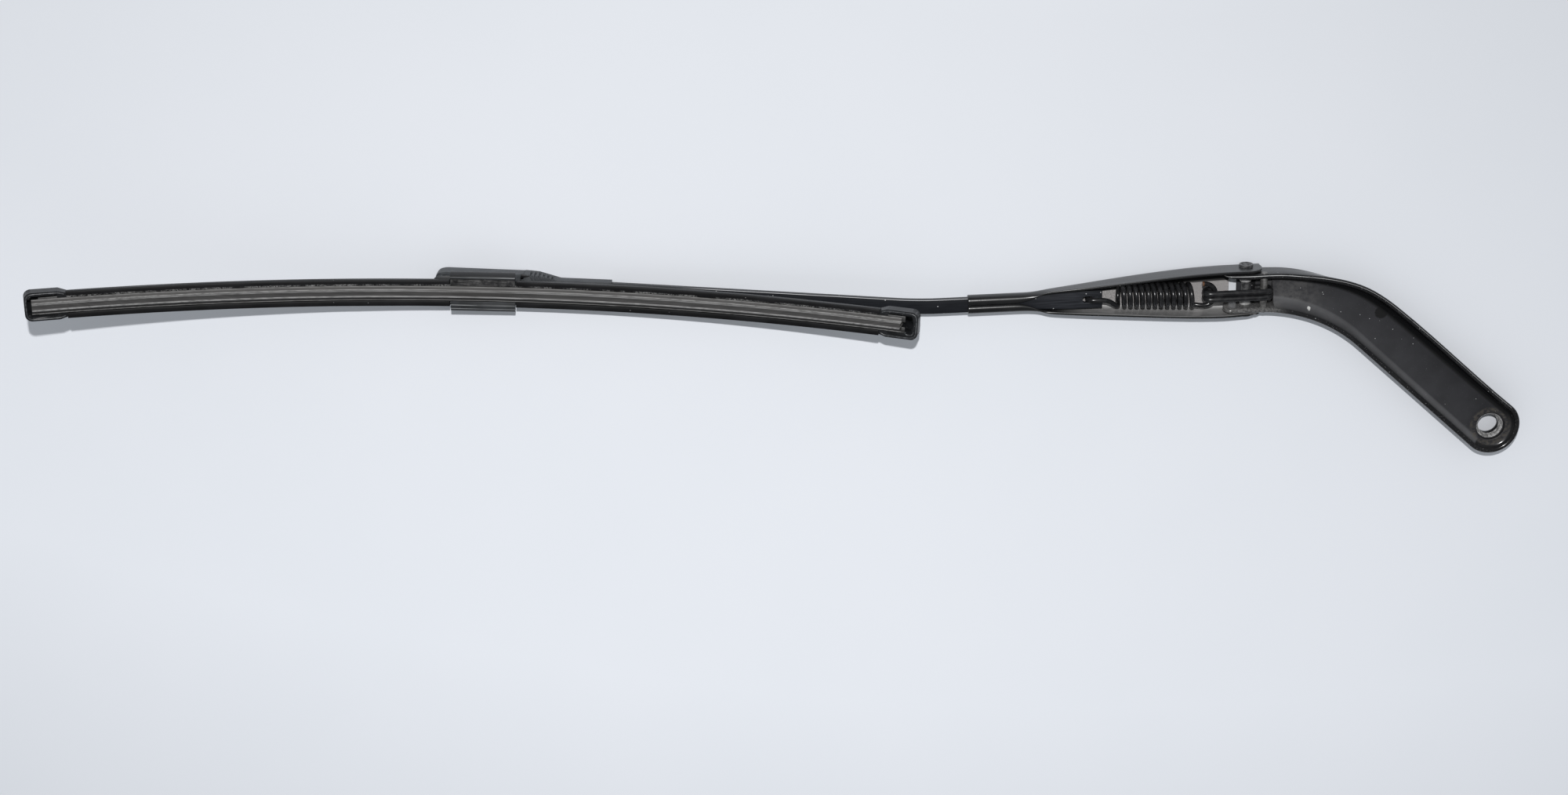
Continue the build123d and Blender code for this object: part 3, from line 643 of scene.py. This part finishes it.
def wall_points(x):
    """Middle of the sheet from the floor's centre line out to one free edge."""
    for (x0, *first), (x1, *last) in zip(run, run[1:]):
        if x0 <= x <= x1:
            share = (x - x0) / (x1 - x0)
            half, low, top, fold = (p + (q - p) * share for p, q in zip(first, last))
    fold = ease(fold)
    w, f, r = half - sheet / 2, low + sheet / 2, 3.2
    rise = top - f - r
    flat = [(0, f), ((w - r) / 2, f), (w - r, f), (w - 0.29 * r, f + 0.29 * r), (w, f + r),
            (w, f + r + rise * 0.33), (w, f + r + rise * 0.66), (w, top - 0.6), (w, top)]
    shut = [(0, -5.8), (2.2, -5.8), (4.0, -5.8), (4.95, -5.2), (5.1, -3.2), (4.9, -0.9), (3.4, 0.42), (1.5, 0.42),
            (0.3, -1.0)]
    return [(a + (c - a) * fold, b + (d - b) * fold) for (a, b), (c, d) in zip(flat, shut)]


alone()
bpy.ops.mesh.primitive_grid_add(x_subdivisions=len(stations) - 1, y_subdivisions=16, size=1)
channel = bpy.context.object
channel.name = "pressed_channel"
ear_back = [0, 0, 0, 0, 2.2, 0.4, 1.0, 5.0, 9.0]
for vertex in channel.data.vertices:
    row, column = divmod(vertex.index, len(stations))
    step, side = abs(row - 8), 1 if row > 8 else -1
    x = stations[column]
    y, height = wall_points(x)[step]
    if side < 0 and step > 4:
        height -= (step - 4) / 4 * 2.6 * ease((x + 20) / 32)
    x -= ear_back[step] * min(1, max(0, (x - 0.5) / 9.8)) ** 1.5
    vertex.co = (x, y * side, height)
pick(channel, "FACE", lambda c, d: c.x > -8.7 and abs(c.y) < 13.4)
bpy.ops.mesh.delete(type="FACE")
bpy.ops.mesh.select_all(action="SELECT")
bpy.ops.mesh.normals_make_consistent(inside=False)
mode("OBJECT")
solid = channel.modifiers.new("sheet", "SOLIDIFY")
solid.thickness = sheet
solid.offset = 0
bpy.ops.object.modifier_apply(modifier="sheet")
soft = channel.modifiers.new("rolled", "SUBSURF")
soft.levels = soft.render_levels = 2
bpy.ops.object.modifier_apply(modifier="rolled")
fit(channel, in_arm, "arm", "black_steel", channel_paint, "arm_channel", smooth=60.0)

# Hinge rivet: a steel pin set over at both ends, each head pressed with a shallow dish.
# It clamps the channel's ears and turns in the two bushes.
# Painted over with the channel.
rivet_paint, tree, shader, spot, _ = coat("rivet_paint", 0.36, mouth, (0, 0, arm_yaw))
colour = mottled(tree, spot, (0.028, 0.028, 0.03), (0.10, 0.10, 0.10), scale=0.5, low=0.4, high=0.62)
dye(tree, shader, colour)
rivet = taken("rivet", "hinge_rivet", in_arm)
pick(rivet, "FACE", lambda c, d: abs(d.y) > 0.9 and abs(c.y) > 16.2)
bpy.ops.mesh.inset(thickness=1.1, use_individual=True)
bpy.ops.mesh.inset(thickness=0.6, depth=-0.6, use_individual=True)
bpy.ops.mesh.inset(thickness=0.7, use_individual=True)
bpy.ops.mesh.inset(thickness=0.3, depth=0.45, use_individual=True)
mode("OBJECT")
round_edges(rivet, 0.3, 3, 50.0)
fit(rivet, in_arm, "arm", "black_steel", rivet_paint, "hinge_rivet")

# Flat bar: drawn steel strip with a slotted tab in the channel and one slow bend, painted black.
# The crimp holds one end and the coupling's sleeve the other.
# Fine scratches and a few pale grains show on its flat, with a painted sheen on the tab and a painted highlight
# along its upper edge.
bar_paint, tree, shader, spot, (u, v, z) = coat("bar_paint", 0.34, mouth, (0, 0, arm_yaw))
colour = mottled(tree, spot, (0.009, 0.0098, 0.012), (0.015, 0.0165, 0.020), scale=1.6, low=0.3, high=0.7,
                 kind=streaks)
# Painted sheen: lighter bluish streaks on the tab's flat.
painted_sheen = times(tree, between(tree, u, -132, -88, 12), between(tree, v, -4.5, 5.5, 2.5),
               use(tree, streaks, spot, Scale=0.8, Low=0.3, High=0.75))
colour = over(tree, times(tree, painted_sheen, 0.5), colour, (0.06, 0.062, 0.072))
colour = over(tree, use(tree, specks, spot, Scale=0.25, Size=0.075, Share=0.5), colour, (0.55, 0.55, 0.55))
aside, up = facing(tree)
# Painted highlight: a pale line along the bar's upper edge face.
line = times(tree, between(tree, aside, 0.3, 0.85, 0.12), between(tree, up, 0.3, 2, 0.12),
             between(tree, u, -340, -150, 14))
colour = over(tree, line, colour, (0.55, 0.55, 0.56))
dye(tree, shader, colour)
relief(tree, shader, spot, scale=1.6, strength=0.1, depth=0.12)
shader.inputs["Specular IOR Level"].default_value = 0.25
bar = taken("flat_bar", "arm_bar", in_arm)
pick(bar, "EDGE", lambda c, d: abs(c.x + 203) < 3 and abs(d.x) < 2)
bpy.ops.mesh.bevel(offset=11, segments=6, affect="EDGES", clamp_overlap=False)
mode("OBJECT")
round_edges(bar, 0.55, 3)
fit(bar, in_arm, "arm", "black_steel", bar_paint, "arm_bar")

# Tension spring: round wire close wound in twelve turns, its left end hooked through the bar's slot.
# The right end runs straight off the last turn and curls up into an open eye for the link.
# Glossy black lacquer.
coil_r, wire_r, coil_z, coil_start, pitch, turns = 6.8, 1.5, -1.6, -79.2, 3.77, 12
per_turn = 28
coil_end = coil_start + pitch * turns
path = [(-96.6, 0, -8.2), (-97.6, 0, -6.6), (-97.9, 0, -4.4), (-97.7, 0, -2.0), (-96.9, 0, -0.2), (-95.4, 0, 0.5),
        (-93.0, 0, 0.6), (-90.0, 0, 0.55), (-87.4, -0.3, 0.5), (-85.2, -1.0, 0.45), (-83.6, -1.9, 0.4),
        (-82.3, -3.0, 0.3), (-81.2, -3.9, 0.1), (-80.2, -4.5, -0.6)]
for k in range(turns * per_turn + 1):
    a = 2 * math.pi * k / per_turn
    coil_v = 2.2 - 2.35 * k / (turns * per_turn)
    path.append((coil_start + pitch * k / per_turn, coil_v - coil_r * math.cos(a), coil_z - coil_r * math.sin(a)))
loop_x, loop_r, loop_z = coil_end + 7.5, 7.0, coil_z + 0.6
path += [(coil_end + 0.7, coil_v - coil_r - 0.2, coil_z - 0.6), (coil_end + 2.0, -loop_r + 0.6, coil_z),
         (loop_x - 2.2, -loop_r, loop_z)]
for k in range(19):
    a = math.radians(-90 + 10.5 * k)
    path.append((loop_x + loop_r * math.cos(a), loop_r * math.sin(a), loop_z))


def drawn_wire(name, lines, thick, along, around):
    """Round wire along one or more lines of points, made a mesh."""
    alone()
    bpy.ops.curve.primitive_nurbs_path_add()
    wire = bpy.context.object
    wire.name = name
    wire.location = (0, 0, 0)
    wire.data.splines.clear()
    for line in lines:
        strand = wire.data.splines.new("NURBS")
        strand.points.add(len(line) - 1)
        for point, at in zip(strand.points, line):
            point.co = (*at, 1)
        strand.order_u = 3
        strand.use_endpoint_u = True
        strand.resolution_u = along
    wire.data.bevel_depth = thick
    wire.data.bevel_resolution = around
    wire.data.use_fill_caps = True
    bpy.ops.object.convert(target="MESH")
    return wire


spring = drawn_wire("coil_spring", [path], wire_r, along=2, around=4)
wire_lacquer, tree, shader, spot, (u, v, z) = coat("wire_lacquer", 0.24, mouth, (0, 0, arm_yaw))
colour = mottled(tree, spot, (0.010, 0.010, 0.011), (0.022, 0.022, 0.023), scale=0.3, low=0.4, high=0.7)
rusty = times(tree, between(tree, u, loop_x - 3.5, loop_x - 0.4, 0.8), between(tree, v, 4.5, 12, 0.6))
colour = over(tree, rusty, colour, (0.16, 0.07, 0.03))
dye(tree, shader, colour)
fit(spring, in_arm, "spring", "spring_steel", wire_lacquer, "tension_spring", smooth=60.0)

# Spring link: a stout black bracket that hooks the spring's eye at one end and the cross pin at the other.
# Two round strands run side by side over the hinge, with a groove between.
# Same glossy lacquer as the spring.
bend = [(-18.8, -4.75), (-22.5, -4.75), (-24.8, -4.2), (-25.9, -2.4), (-25.9, -0.4), (-25.9, 2.2), (-24.9, 3.9),
        (-22.6, 4.35), (-18, 4.35), (-6, 4.35), (4, 4.35), (10.2, 4.35), (12.6, 3.9), (13.65, 2.2), (13.65, -0.4),
        (13.65, -2.4), (12.6, -4.2), (10.2, -4.75), (5.0, -4.75)]
strand_r, apart = 1.85, 1.82
strands = [[(x, side, height) for x, height in bend] for side in (apart, -apart)]
link = drawn_wire("link_hook", strands, strand_r, along=6, around=5)
link_lacquer, tree, shader, spot, _ = coat("link_lacquer", 0.28, mouth, (0, 0, arm_yaw))
colour = mottled(tree, spot, (0.011, 0.011, 0.012), (0.028, 0.028, 0.029), scale=0.3, low=0.4, high=0.7)
dye(tree, shader, colour)
fit(link, in_arm, "link", "spring_steel", link_lacquer, "spring_link")

# Connector: coupling on the bar's end, cover over it and adapter inside, all moulded in dark grey plastic.
# The coupling's sleeve takes the bar and the ribbed waist is the thumb grip.
# The cover snaps over the coupling's tongue, and the adapter swings on the blade's pin.
pivot = Vector(joints["blade_pivot"]["pos_m"])
cross = joints["blade_pivot"]["axis"]
outer_yaw = math.atan(-cross[0] / cross[1])
join = Vector((pivot.x, pivot.y, mouth.z))
in_join = Matrix.Translation(join) @ Matrix.Rotation(outer_yaw, 4, "Z") @ Matrix.Scale(0.001, 4)
connector_plastic, tree, shader, spot, _ = coat("connector_plastic", 0.48, join, (0, 0, outer_yaw))
colour = mottled(tree, spot, (0.042, 0.046, 0.051), (0.060, 0.065, 0.070), scale=0.12)
colour = speckled(tree, spot, colour, scale=0.7, size=0.12, share=0.25, cover=0.5, grey=0.2)
dye(tree, shader, colour)
relief(tree, shader, spot, scale=2.6, strength=0.18, depth=0.12)
nose_from, nose_long, nose_narrow, nose_up = -23.0, 7.0, 0.62, 1.4
mouldings = [("coupling", "arm_end_coupling", 0.35), ("cover", "connector_cover", 0.7),
             ("adapter", "blade_adapter", 0.4)]
for name, node, width in mouldings:
    piece = taken("joint_" + name, node, in_join)
    mode("EDIT")
    for x in (nose_from, -25.0, -27.0, -28.6, -29.4) if name == "cover" else ():
        bpy.ops.mesh.select_all(action="SELECT")
        bpy.ops.mesh.bisect(plane_co=(x, 0, 0), plane_no=(1, 0, 0))
    mode("OBJECT")
    for vertex in piece.data.vertices if name == "cover" else []:
        nose = min(max((nose_from - vertex.co.x) / nose_long, 0.0), 1.0)
        vertex.co.y *= nose_narrow + (1 - nose_narrow) * math.sqrt(1 - nose ** 2)
        if vertex.co.z > -8:
            vertex.co.z += nose_up * min(nose * 1.75, 1.0)
    round_edges(piece, width, 3)
    fit(piece, in_join, "arm", "connector_plastic", connector_plastic, node)

# Latch and grip ribs: an arrow-shaped black tongue that snaps over the cover's end, and eight slanting thumb ribs.
# The tongue is a moulding of its own, the ribs stand on the coupling's shoulder.
# Each is a small rounded prism, the rib modelled once and copied.
alone()
bpy.ops.mesh.primitive_circle_add(vertices=7, radius=1, fill_type="NGON")
latch = bpy.context.object
latch.name = "latch_tongue"
arrow = [(17.6, 9.5), (17.6, 7.5), (22.4, 7.9), (22.6, 7.1), (27.6, 8.5), (22.8, 9.9), (22.4, 9.2)]
for vertex, at in zip(latch.data.vertices, arrow):
    vertex.co = (*at, -6.9)
mode("EDIT")
bpy.ops.mesh.select_mode(type="FACE")
bpy.ops.mesh.select_all(action="SELECT")
bpy.ops.mesh.extrude_region_move(TRANSFORM_OT_translate={"value": (0, 0, 1.1)})
bpy.ops.mesh.select_all(action="SELECT")
bpy.ops.mesh.normals_make_consistent(inside=False)
mode("OBJECT")
round_edges(latch, 0.3, 2)
latch_plastic, tree, shader, spot, _ = coat("latch_plastic", 0.4, join, (0, 0, outer_yaw))
colour = mottled(tree, spot, (0.005, 0.005, 0.006), (0.012, 0.012, 0.013), scale=0.3)
dye(tree, shader, colour)
relief(tree, shader, spot, scale=2.6, strength=0.12, depth=0.12)
fit(latch, in_join, "arm", "connector_plastic", latch_plastic)
alone()
bpy.ops.mesh.primitive_cube_add(size=1, location=(0, 0, 0))
ribs = bpy.context.object
ribs.name = "grip_ribs"
ribs.scale = (4.4, 0.75, 0.9)
settle()
round_edges(ribs, 0.25, 3)
mode("EDIT")
bpy.ops.mesh.select_all(action="SELECT")
bpy.ops.transform.rotate(value=math.radians(58), orient_axis="Z", center_override=(0, 0, 0))
bpy.ops.transform.translate(value=(28.4, 7.9, -6.55))
for k in range(7):
    bpy.ops.mesh.duplicate_move(TRANSFORM_OT_translate={"value": (2.15, -0.42, -0.26)})
mode("OBJECT")
fit(ribs, in_join, "arm", "connector_plastic", connector_plastic)

# Beam blade: two spring-steel rails that bow the blade, a rubber wiping strip gripped between them.
# Black spoiler sections are pushed over the rails from both ends.
# The rubber is grey-brown with wear, with pale lines along its edges that are partly dust and partly painted
# highlights; the spoilers are smoother and blacker.
blade_pitch, rail_rise = math.radians(3.1), 0.0072
in_blade = (Matrix.Translation(pivot) @ Matrix.Rotation(outer_yaw, 4, "Z") @ Matrix.Rotation(blade_pitch, 4, "Y")
            @ Matrix.Translation((0, 0, rail_rise)) @ Matrix.Scale(0.001, 4))
blade_turn = (0, blade_pitch, outer_yaw)
blade_at = in_blade.translation
lip_rubber, tree, shader, spot, (u, v, z) = coat("lip_rubber", 0.62, blade_at, blade_turn)
colour = mottled(tree, spot, (0.036, 0.034, 0.033), (0.060, 0.057, 0.054), scale=0.9, low=0.3, high=0.7,
                 kind=streaks)
flank = between(tree, v, -3.9, -0.5, 0.3)
colour = over(tree, times(tree, flank, 0.75), colour, (0.029, 0.027, 0.025))
blotch = times(tree, between(tree, v, -3.5, 1.6, 0.3), use(tree, streaks, spot, Scale=0.5, Low=0.62, High=0.68))
colour = over(tree, times(tree, blotch, 0.8), colour, (0.02, 0.019, 0.018))
# Pale lines along the rubber: dust, and painted highlights on its edges and ridges.
dust_and_highlight_lines = [(2.1, 2.7, 0.15, 0.9), (-0.55, 0.5, 0.12, 0.8), (-4.8, -3.9, 0.2, 0.9), (4.1, 4.8, 0.2, 0.6)]
for low, high, soft, strength in dust_and_highlight_lines:
    patchy = use(tree, streaks, spot, Scale=1.5, Low=0.2, High=0.6)
    line = times(tree, between(tree, v, low, high, soft), patchy, strength)
    colour = over(tree, line, colour, (0.30, 0.295, 0.29))
dye(tree, shader, colour)
relief(tree, shader, spot, scale=2.5, strength=0.2, depth=0.1)
spoiler_rubber, tree, shader, spot, (u, v, z) = coat("spoiler_rubber", 0.42, blade_at, blade_turn)
colour = mottled(tree, spot, (0.006, 0.006, 0.0065), (0.011, 0.011, 0.012), scale=0.05)
dusty = times(tree, between(tree, v, 4.2, 5.7, 0.5), use(tree, cloud, spot, Scale=1.3, Low=0.4, High=0.62),
              use(tree, cloud, spot, Scale=0.09, Low=0.38, High=0.58))
colour = over(tree, times(tree, dusty, 0.85), colour, (0.34, 0.335, 0.33))
colour = over(tree, use(tree, specks, spot, Scale=0.3, Size=0.06, Share=0.3), colour, (0.3, 0.3, 0.3))
dye(tree, shader, colour)
relief(tree, shader, spot, scale=2.0, strength=0.12, depth=0.12)
shader.inputs["Specular IOR Level"].default_value = 0.22
rail_steel, tree, shader, spot, _ = coat("rail_steel", 0.4, blade_at, blade_turn, metal=0.6)
colour = mottled(tree, spot, (0.05, 0.05, 0.05), (0.11, 0.11, 0.11), scale=1.0, low=0.3, high=0.7, kind=streaks)
dye(tree, shader, colour)
for side in ("upper", "lower"):
    rail = taken("rail_strip_" + side, "rail_" + side, in_blade)
    round_edges(rail, 0.15, 2)
    fit(rail, in_blade, "blade", "rail_steel", rail_steel, "rail_" + side)
rubber = taken("wiping_rubber", "wiper_rubber", in_blade)
round_edges(rubber, 0.22, 2)
fit(rubber, in_blade, "blade", "lip_rubber", lip_rubber, "wiper_rubber")
for side in ("tip", "heel"):
    spoiler = taken("spoiler_strip_" + side, "spoiler_" + side, in_blade)
    round_edges(spoiler, 0.3, 2)
    fit(spoiler, in_blade, "blade", "spoiler_rubber", spoiler_rubber, "spoiler_" + side)

# Blade base: moulded plate over the middle of the rails, its claws folded round their edges.
# The pivot pin through its block is a plain steel dowel.
# Dark grey plastic like the connector's, dulled by dust, with painted highlights along the claws' ridges and
# painted shade beside the upper claw.
base_plastic, tree, shader, spot, (u, v, z) = coat("base_plastic", 0.45, blade_at, blade_turn)
colour = mottled(tree, spot, (0.018, 0.0195, 0.021), (0.03, 0.032, 0.035), scale=0.12)
colour = speckled(tree, spot, colour, scale=0.7, size=0.12, share=0.3, cover=0.5, grey=0.22)
flange = times(tree, between(tree, v, 4.0, 9.3, 0.2), between(tree, u, -19.4, 19.4, 0.2))
colour = over(tree, flange, colour, (0.007, 0.007, 0.008))
dusted = times(tree, flange, use(tree, streaks, spot, Scale=2.2, Low=0.35, High=0.75),
               use(tree, cloud, spot, Scale=0.3, Low=0.22, High=0.7))
colour = over(tree, times(tree, dusted, 0.75), colour, (0.24, 0.235, 0.23))
# Painted shade: the upper claw's outer side is painted near black, where the cover shades it.
colour = over(tree, times(tree, between(tree, v, 11.6, 20, 0.15), 0.8), colour, (0.008, 0.008, 0.009))
# Painted highlights: pale lines along the claws' ridges.
for low, high in ((10.9, 11.4), (-7.4, -7.1), (-9.6, -9.3)):
    line = times(tree, between(tree, v, low, high, 0.12), use(tree, streaks, spot, Scale=1.2, Low=0.2, High=0.6))
    colour = over(tree, line, colour, (0.28, 0.285, 0.29))
dye(tree, shader, colour)
relief(tree, shader, spot, scale=2.6, strength=0.15, depth=0.12)
base = taken("blade_carrier", "blade_base", in_blade)
for vertex in base.data.vertices:
    at = vertex.co
    if at.y > 5.5:
        at.z += 1.2 if at.z > 2 else 0
        at.y += 2.6
    if at.y < -9.0:
        at.y -= 0.6
round_edges(base, 0.35, 3)
fit(base, in_blade, "blade", "base_plastic", base_plastic, "blade_base")
alone()
bpy.ops.mesh.primitive_cube_add(size=1, location=(-25.2, 0.2, -3.75))
jaw = bpy.context.object
jaw.name = "carrier_jaw"
jaw.scale = (12.4, 18.6, 1.5)
settle()
pick(jaw, "EDGE", lambda c, d: c.x < -31 and abs(d.z) > 1)
bpy.ops.mesh.bevel(offset=5.5, segments=6, affect="EDGES", clamp_overlap=True)
mode("OBJECT")
round_edges(jaw, 0.55, 3)
fit(jaw, in_blade, "blade", "base_plastic", base_plastic)
dowel = taken("pivot_dowel", "pivot_pin", in_blade)
round_edges(dowel, 0.3, 2)
fit(dowel, in_blade, "blade", "bare_steel", dull_steel, "pivot_pin")

# End caps: small moulded boxes pushed over the rails and spoiler, each with a raised rim and a pocket.
# The heel's cap has a catch slot at its outer end.
# Black plastic flecked with dust; its rim bead is painted lighter as a highlight.
cap_plastic, tree, shader, spot, _ = coat("cap_plastic", 0.4, blade_at, blade_turn)
colour = mottled(tree, spot, (0.009, 0.0098, 0.011), (0.017, 0.018, 0.020), scale=0.15)
colour = speckled(tree, spot, colour, scale=0.8, size=0.12, share=0.3, cover=0.5, grey=0.3)
dye(tree, shader, colour)
relief(tree, shader, spot, scale=2.4, strength=0.12, depth=0.12)
shader.inputs["Specular IOR Level"].default_value = 0.3
# Painted highlight: the rim bead's plastic is a lighter grey than the cap's.
rim_highlight_plastic, tree, shader, spot, _ = coat("rim_highlight_plastic", 0.3, blade_at, blade_turn)
colour = mottled(tree, spot, (0.035, 0.037, 0.040), (0.09, 0.093, 0.098), scale=0.6, low=0.4, high=0.6)
dye(tree, shader, colour)
relief(tree, shader, spot, scale=2.4, strength=0.12, depth=0.12)
bow, cap_middle, bead_z, bead_r = 830.0, 256.55, 1.15, 0.4
rim = [(-10.8, 6.6), (-9.6, 7.2), (-7.6, 7.75), (0, 7.8), (5, 7.8), (8.2, 7.7), (10.1, 6.6), (10.75, 4.4),
       (10.8, 0)]
rim = rim + [(x, -y) for x, y in reversed(rim[:-1])]
lip = [(4.2, -4.2), (4.2, -5.4), (5.4, -6.0), (7.6, -6.0), (9.0, -5.2), (9.2, -3.6)]
for side, sign in (("tip", -1), ("heel", 1)):
    round_bow = Matrix.Rotation(-sign * cap_middle / bow, 4, "Y")
    ride_bow = Matrix.Translation((0, 0, bow)) @ round_bow @ Matrix.Translation((0, 0, -bow))
    in_cap = in_blade @ ride_bow @ Matrix.Rotation(0 if sign > 0 else math.pi, 4, "Z")
    cap = taken("cap_" + side, "end_cap_" + side, in_cap, 0.0)
    for vertex in cap.data.vertices:
        if vertex.co.x < -11:
            vertex.co.x -= 1.4
            vertex.co.y *= 0.84 if abs(vertex.co.y) > 6 else 1.0
            vertex.co.z *= 0.8 if vertex.co.z < -3 else 1.0
    fit(cap, in_cap, "blade", "cap_plastic", cap_plastic, "end_cap_" + side, smooth=25.0)
    beads = [[(x, y, bead_z) for x, y in line] for line in ((rim,) if sign < 0 else (rim, lip))]
    bead = drawn_wire("cap_rim_" + side, beads, bead_r, along=6, around=3)
    fit(bead, in_cap, "blade", "cap_plastic", rim_highlight_plastic, smooth=60.0)

# Table: a pale painted board that the arm lies on, with only faint unevenness.
# Painted light and shade: its tone is painted lighter towards the lower edge of the picture, where the lamp reaches
# less, and graded from side to side.
alone()
bpy.ops.mesh.primitive_plane_add(size=6.0, location=(-0.4, 0.0, cad_box[0][2]))
table = bpy.context.object
table.name = "table_top"
table_paint, tree, shader, spot, (u, v, z) = coat("table_paint", 0.6, (0, 0, 0), (0, 0, 0))
colour = mottled(tree, spot, (0.755, 0.775, 0.815), (0.768, 0.785, 0.825), scale=0.004, low=0.3, high=0.7)
# Painted light and shade across the board, as a gain on its tone
painted_falloff = worked(tree, "MULTIPLY_ADD", v, -0.000725, 1.053)
aside = worked(tree, "ADD", u, 45.6)
painted_falloff = worked(tree, "MULTIPLY_ADD", aside, -0.000076, painted_falloff)
painted_falloff = worked(tree, "MULTIPLY_ADD", times(tree, aside, aside), 1.95e-7, painted_falloff)
painted_falloff = put(tree, "ShaderNodeClamp", {"Value": painted_falloff, "Min": 0.86, "Max": 1.2}).outputs["Result"]
colour = put(tree, "ShaderNodeVectorMath", {0: colour, "Scale": painted_falloff}, operation="SCALE").outputs["Vector"]
dye(tree, shader, colour)
table.data.materials.append(table_paint)

# Lamp: one small lamp at the camera's height, further out past the picture's upper edge, gives the hard shadow.
# A pale even world fills the shadow and shows less in glossy faces.
bpy.ops.object.light_add(type="AREA", location=(-0.4456, 0.68, 1.27))
key = bpy.context.object
key.data.shape = "DISK"
key.data.size = 0.027
key.data.energy = 15.0
lit = Vector((-0.4456, 0.05, 0.0))
key.rotation_euler = (lit - key.location).to_track_quat("-Z", "Y").to_euler()
world = bpy.data.worlds.new("fill")
bpy.context.scene.world = world
world.use_nodes = True
sky = world.node_tree.nodes["Background"]
sky.inputs["Color"].default_value = (0.92, 0.96, 1.0, 1)
ray = put(world.node_tree, "ShaderNodeLightPath")
level = span(world.node_tree, ray.outputs["Is Glossy Ray"], 0.4, 0.07)
world.node_tree.links.new(level, sky.inputs["Strength"])

# Camera: above the table and beyond the arm's upper side, looking back down at it.
# Colours are shown by the plain standard view.
bpy.ops.object.camera_add(location=(-0.44564, 0.51519, 1.23305), rotation=(math.radians(-22), 0, 0))
camera = bpy.context.object
camera.data.lens = 48.4
camera.data.sensor_width = 36.0
bpy.context.scene.camera = camera
bpy.context.scene.view_settings.view_transform = "Standard"
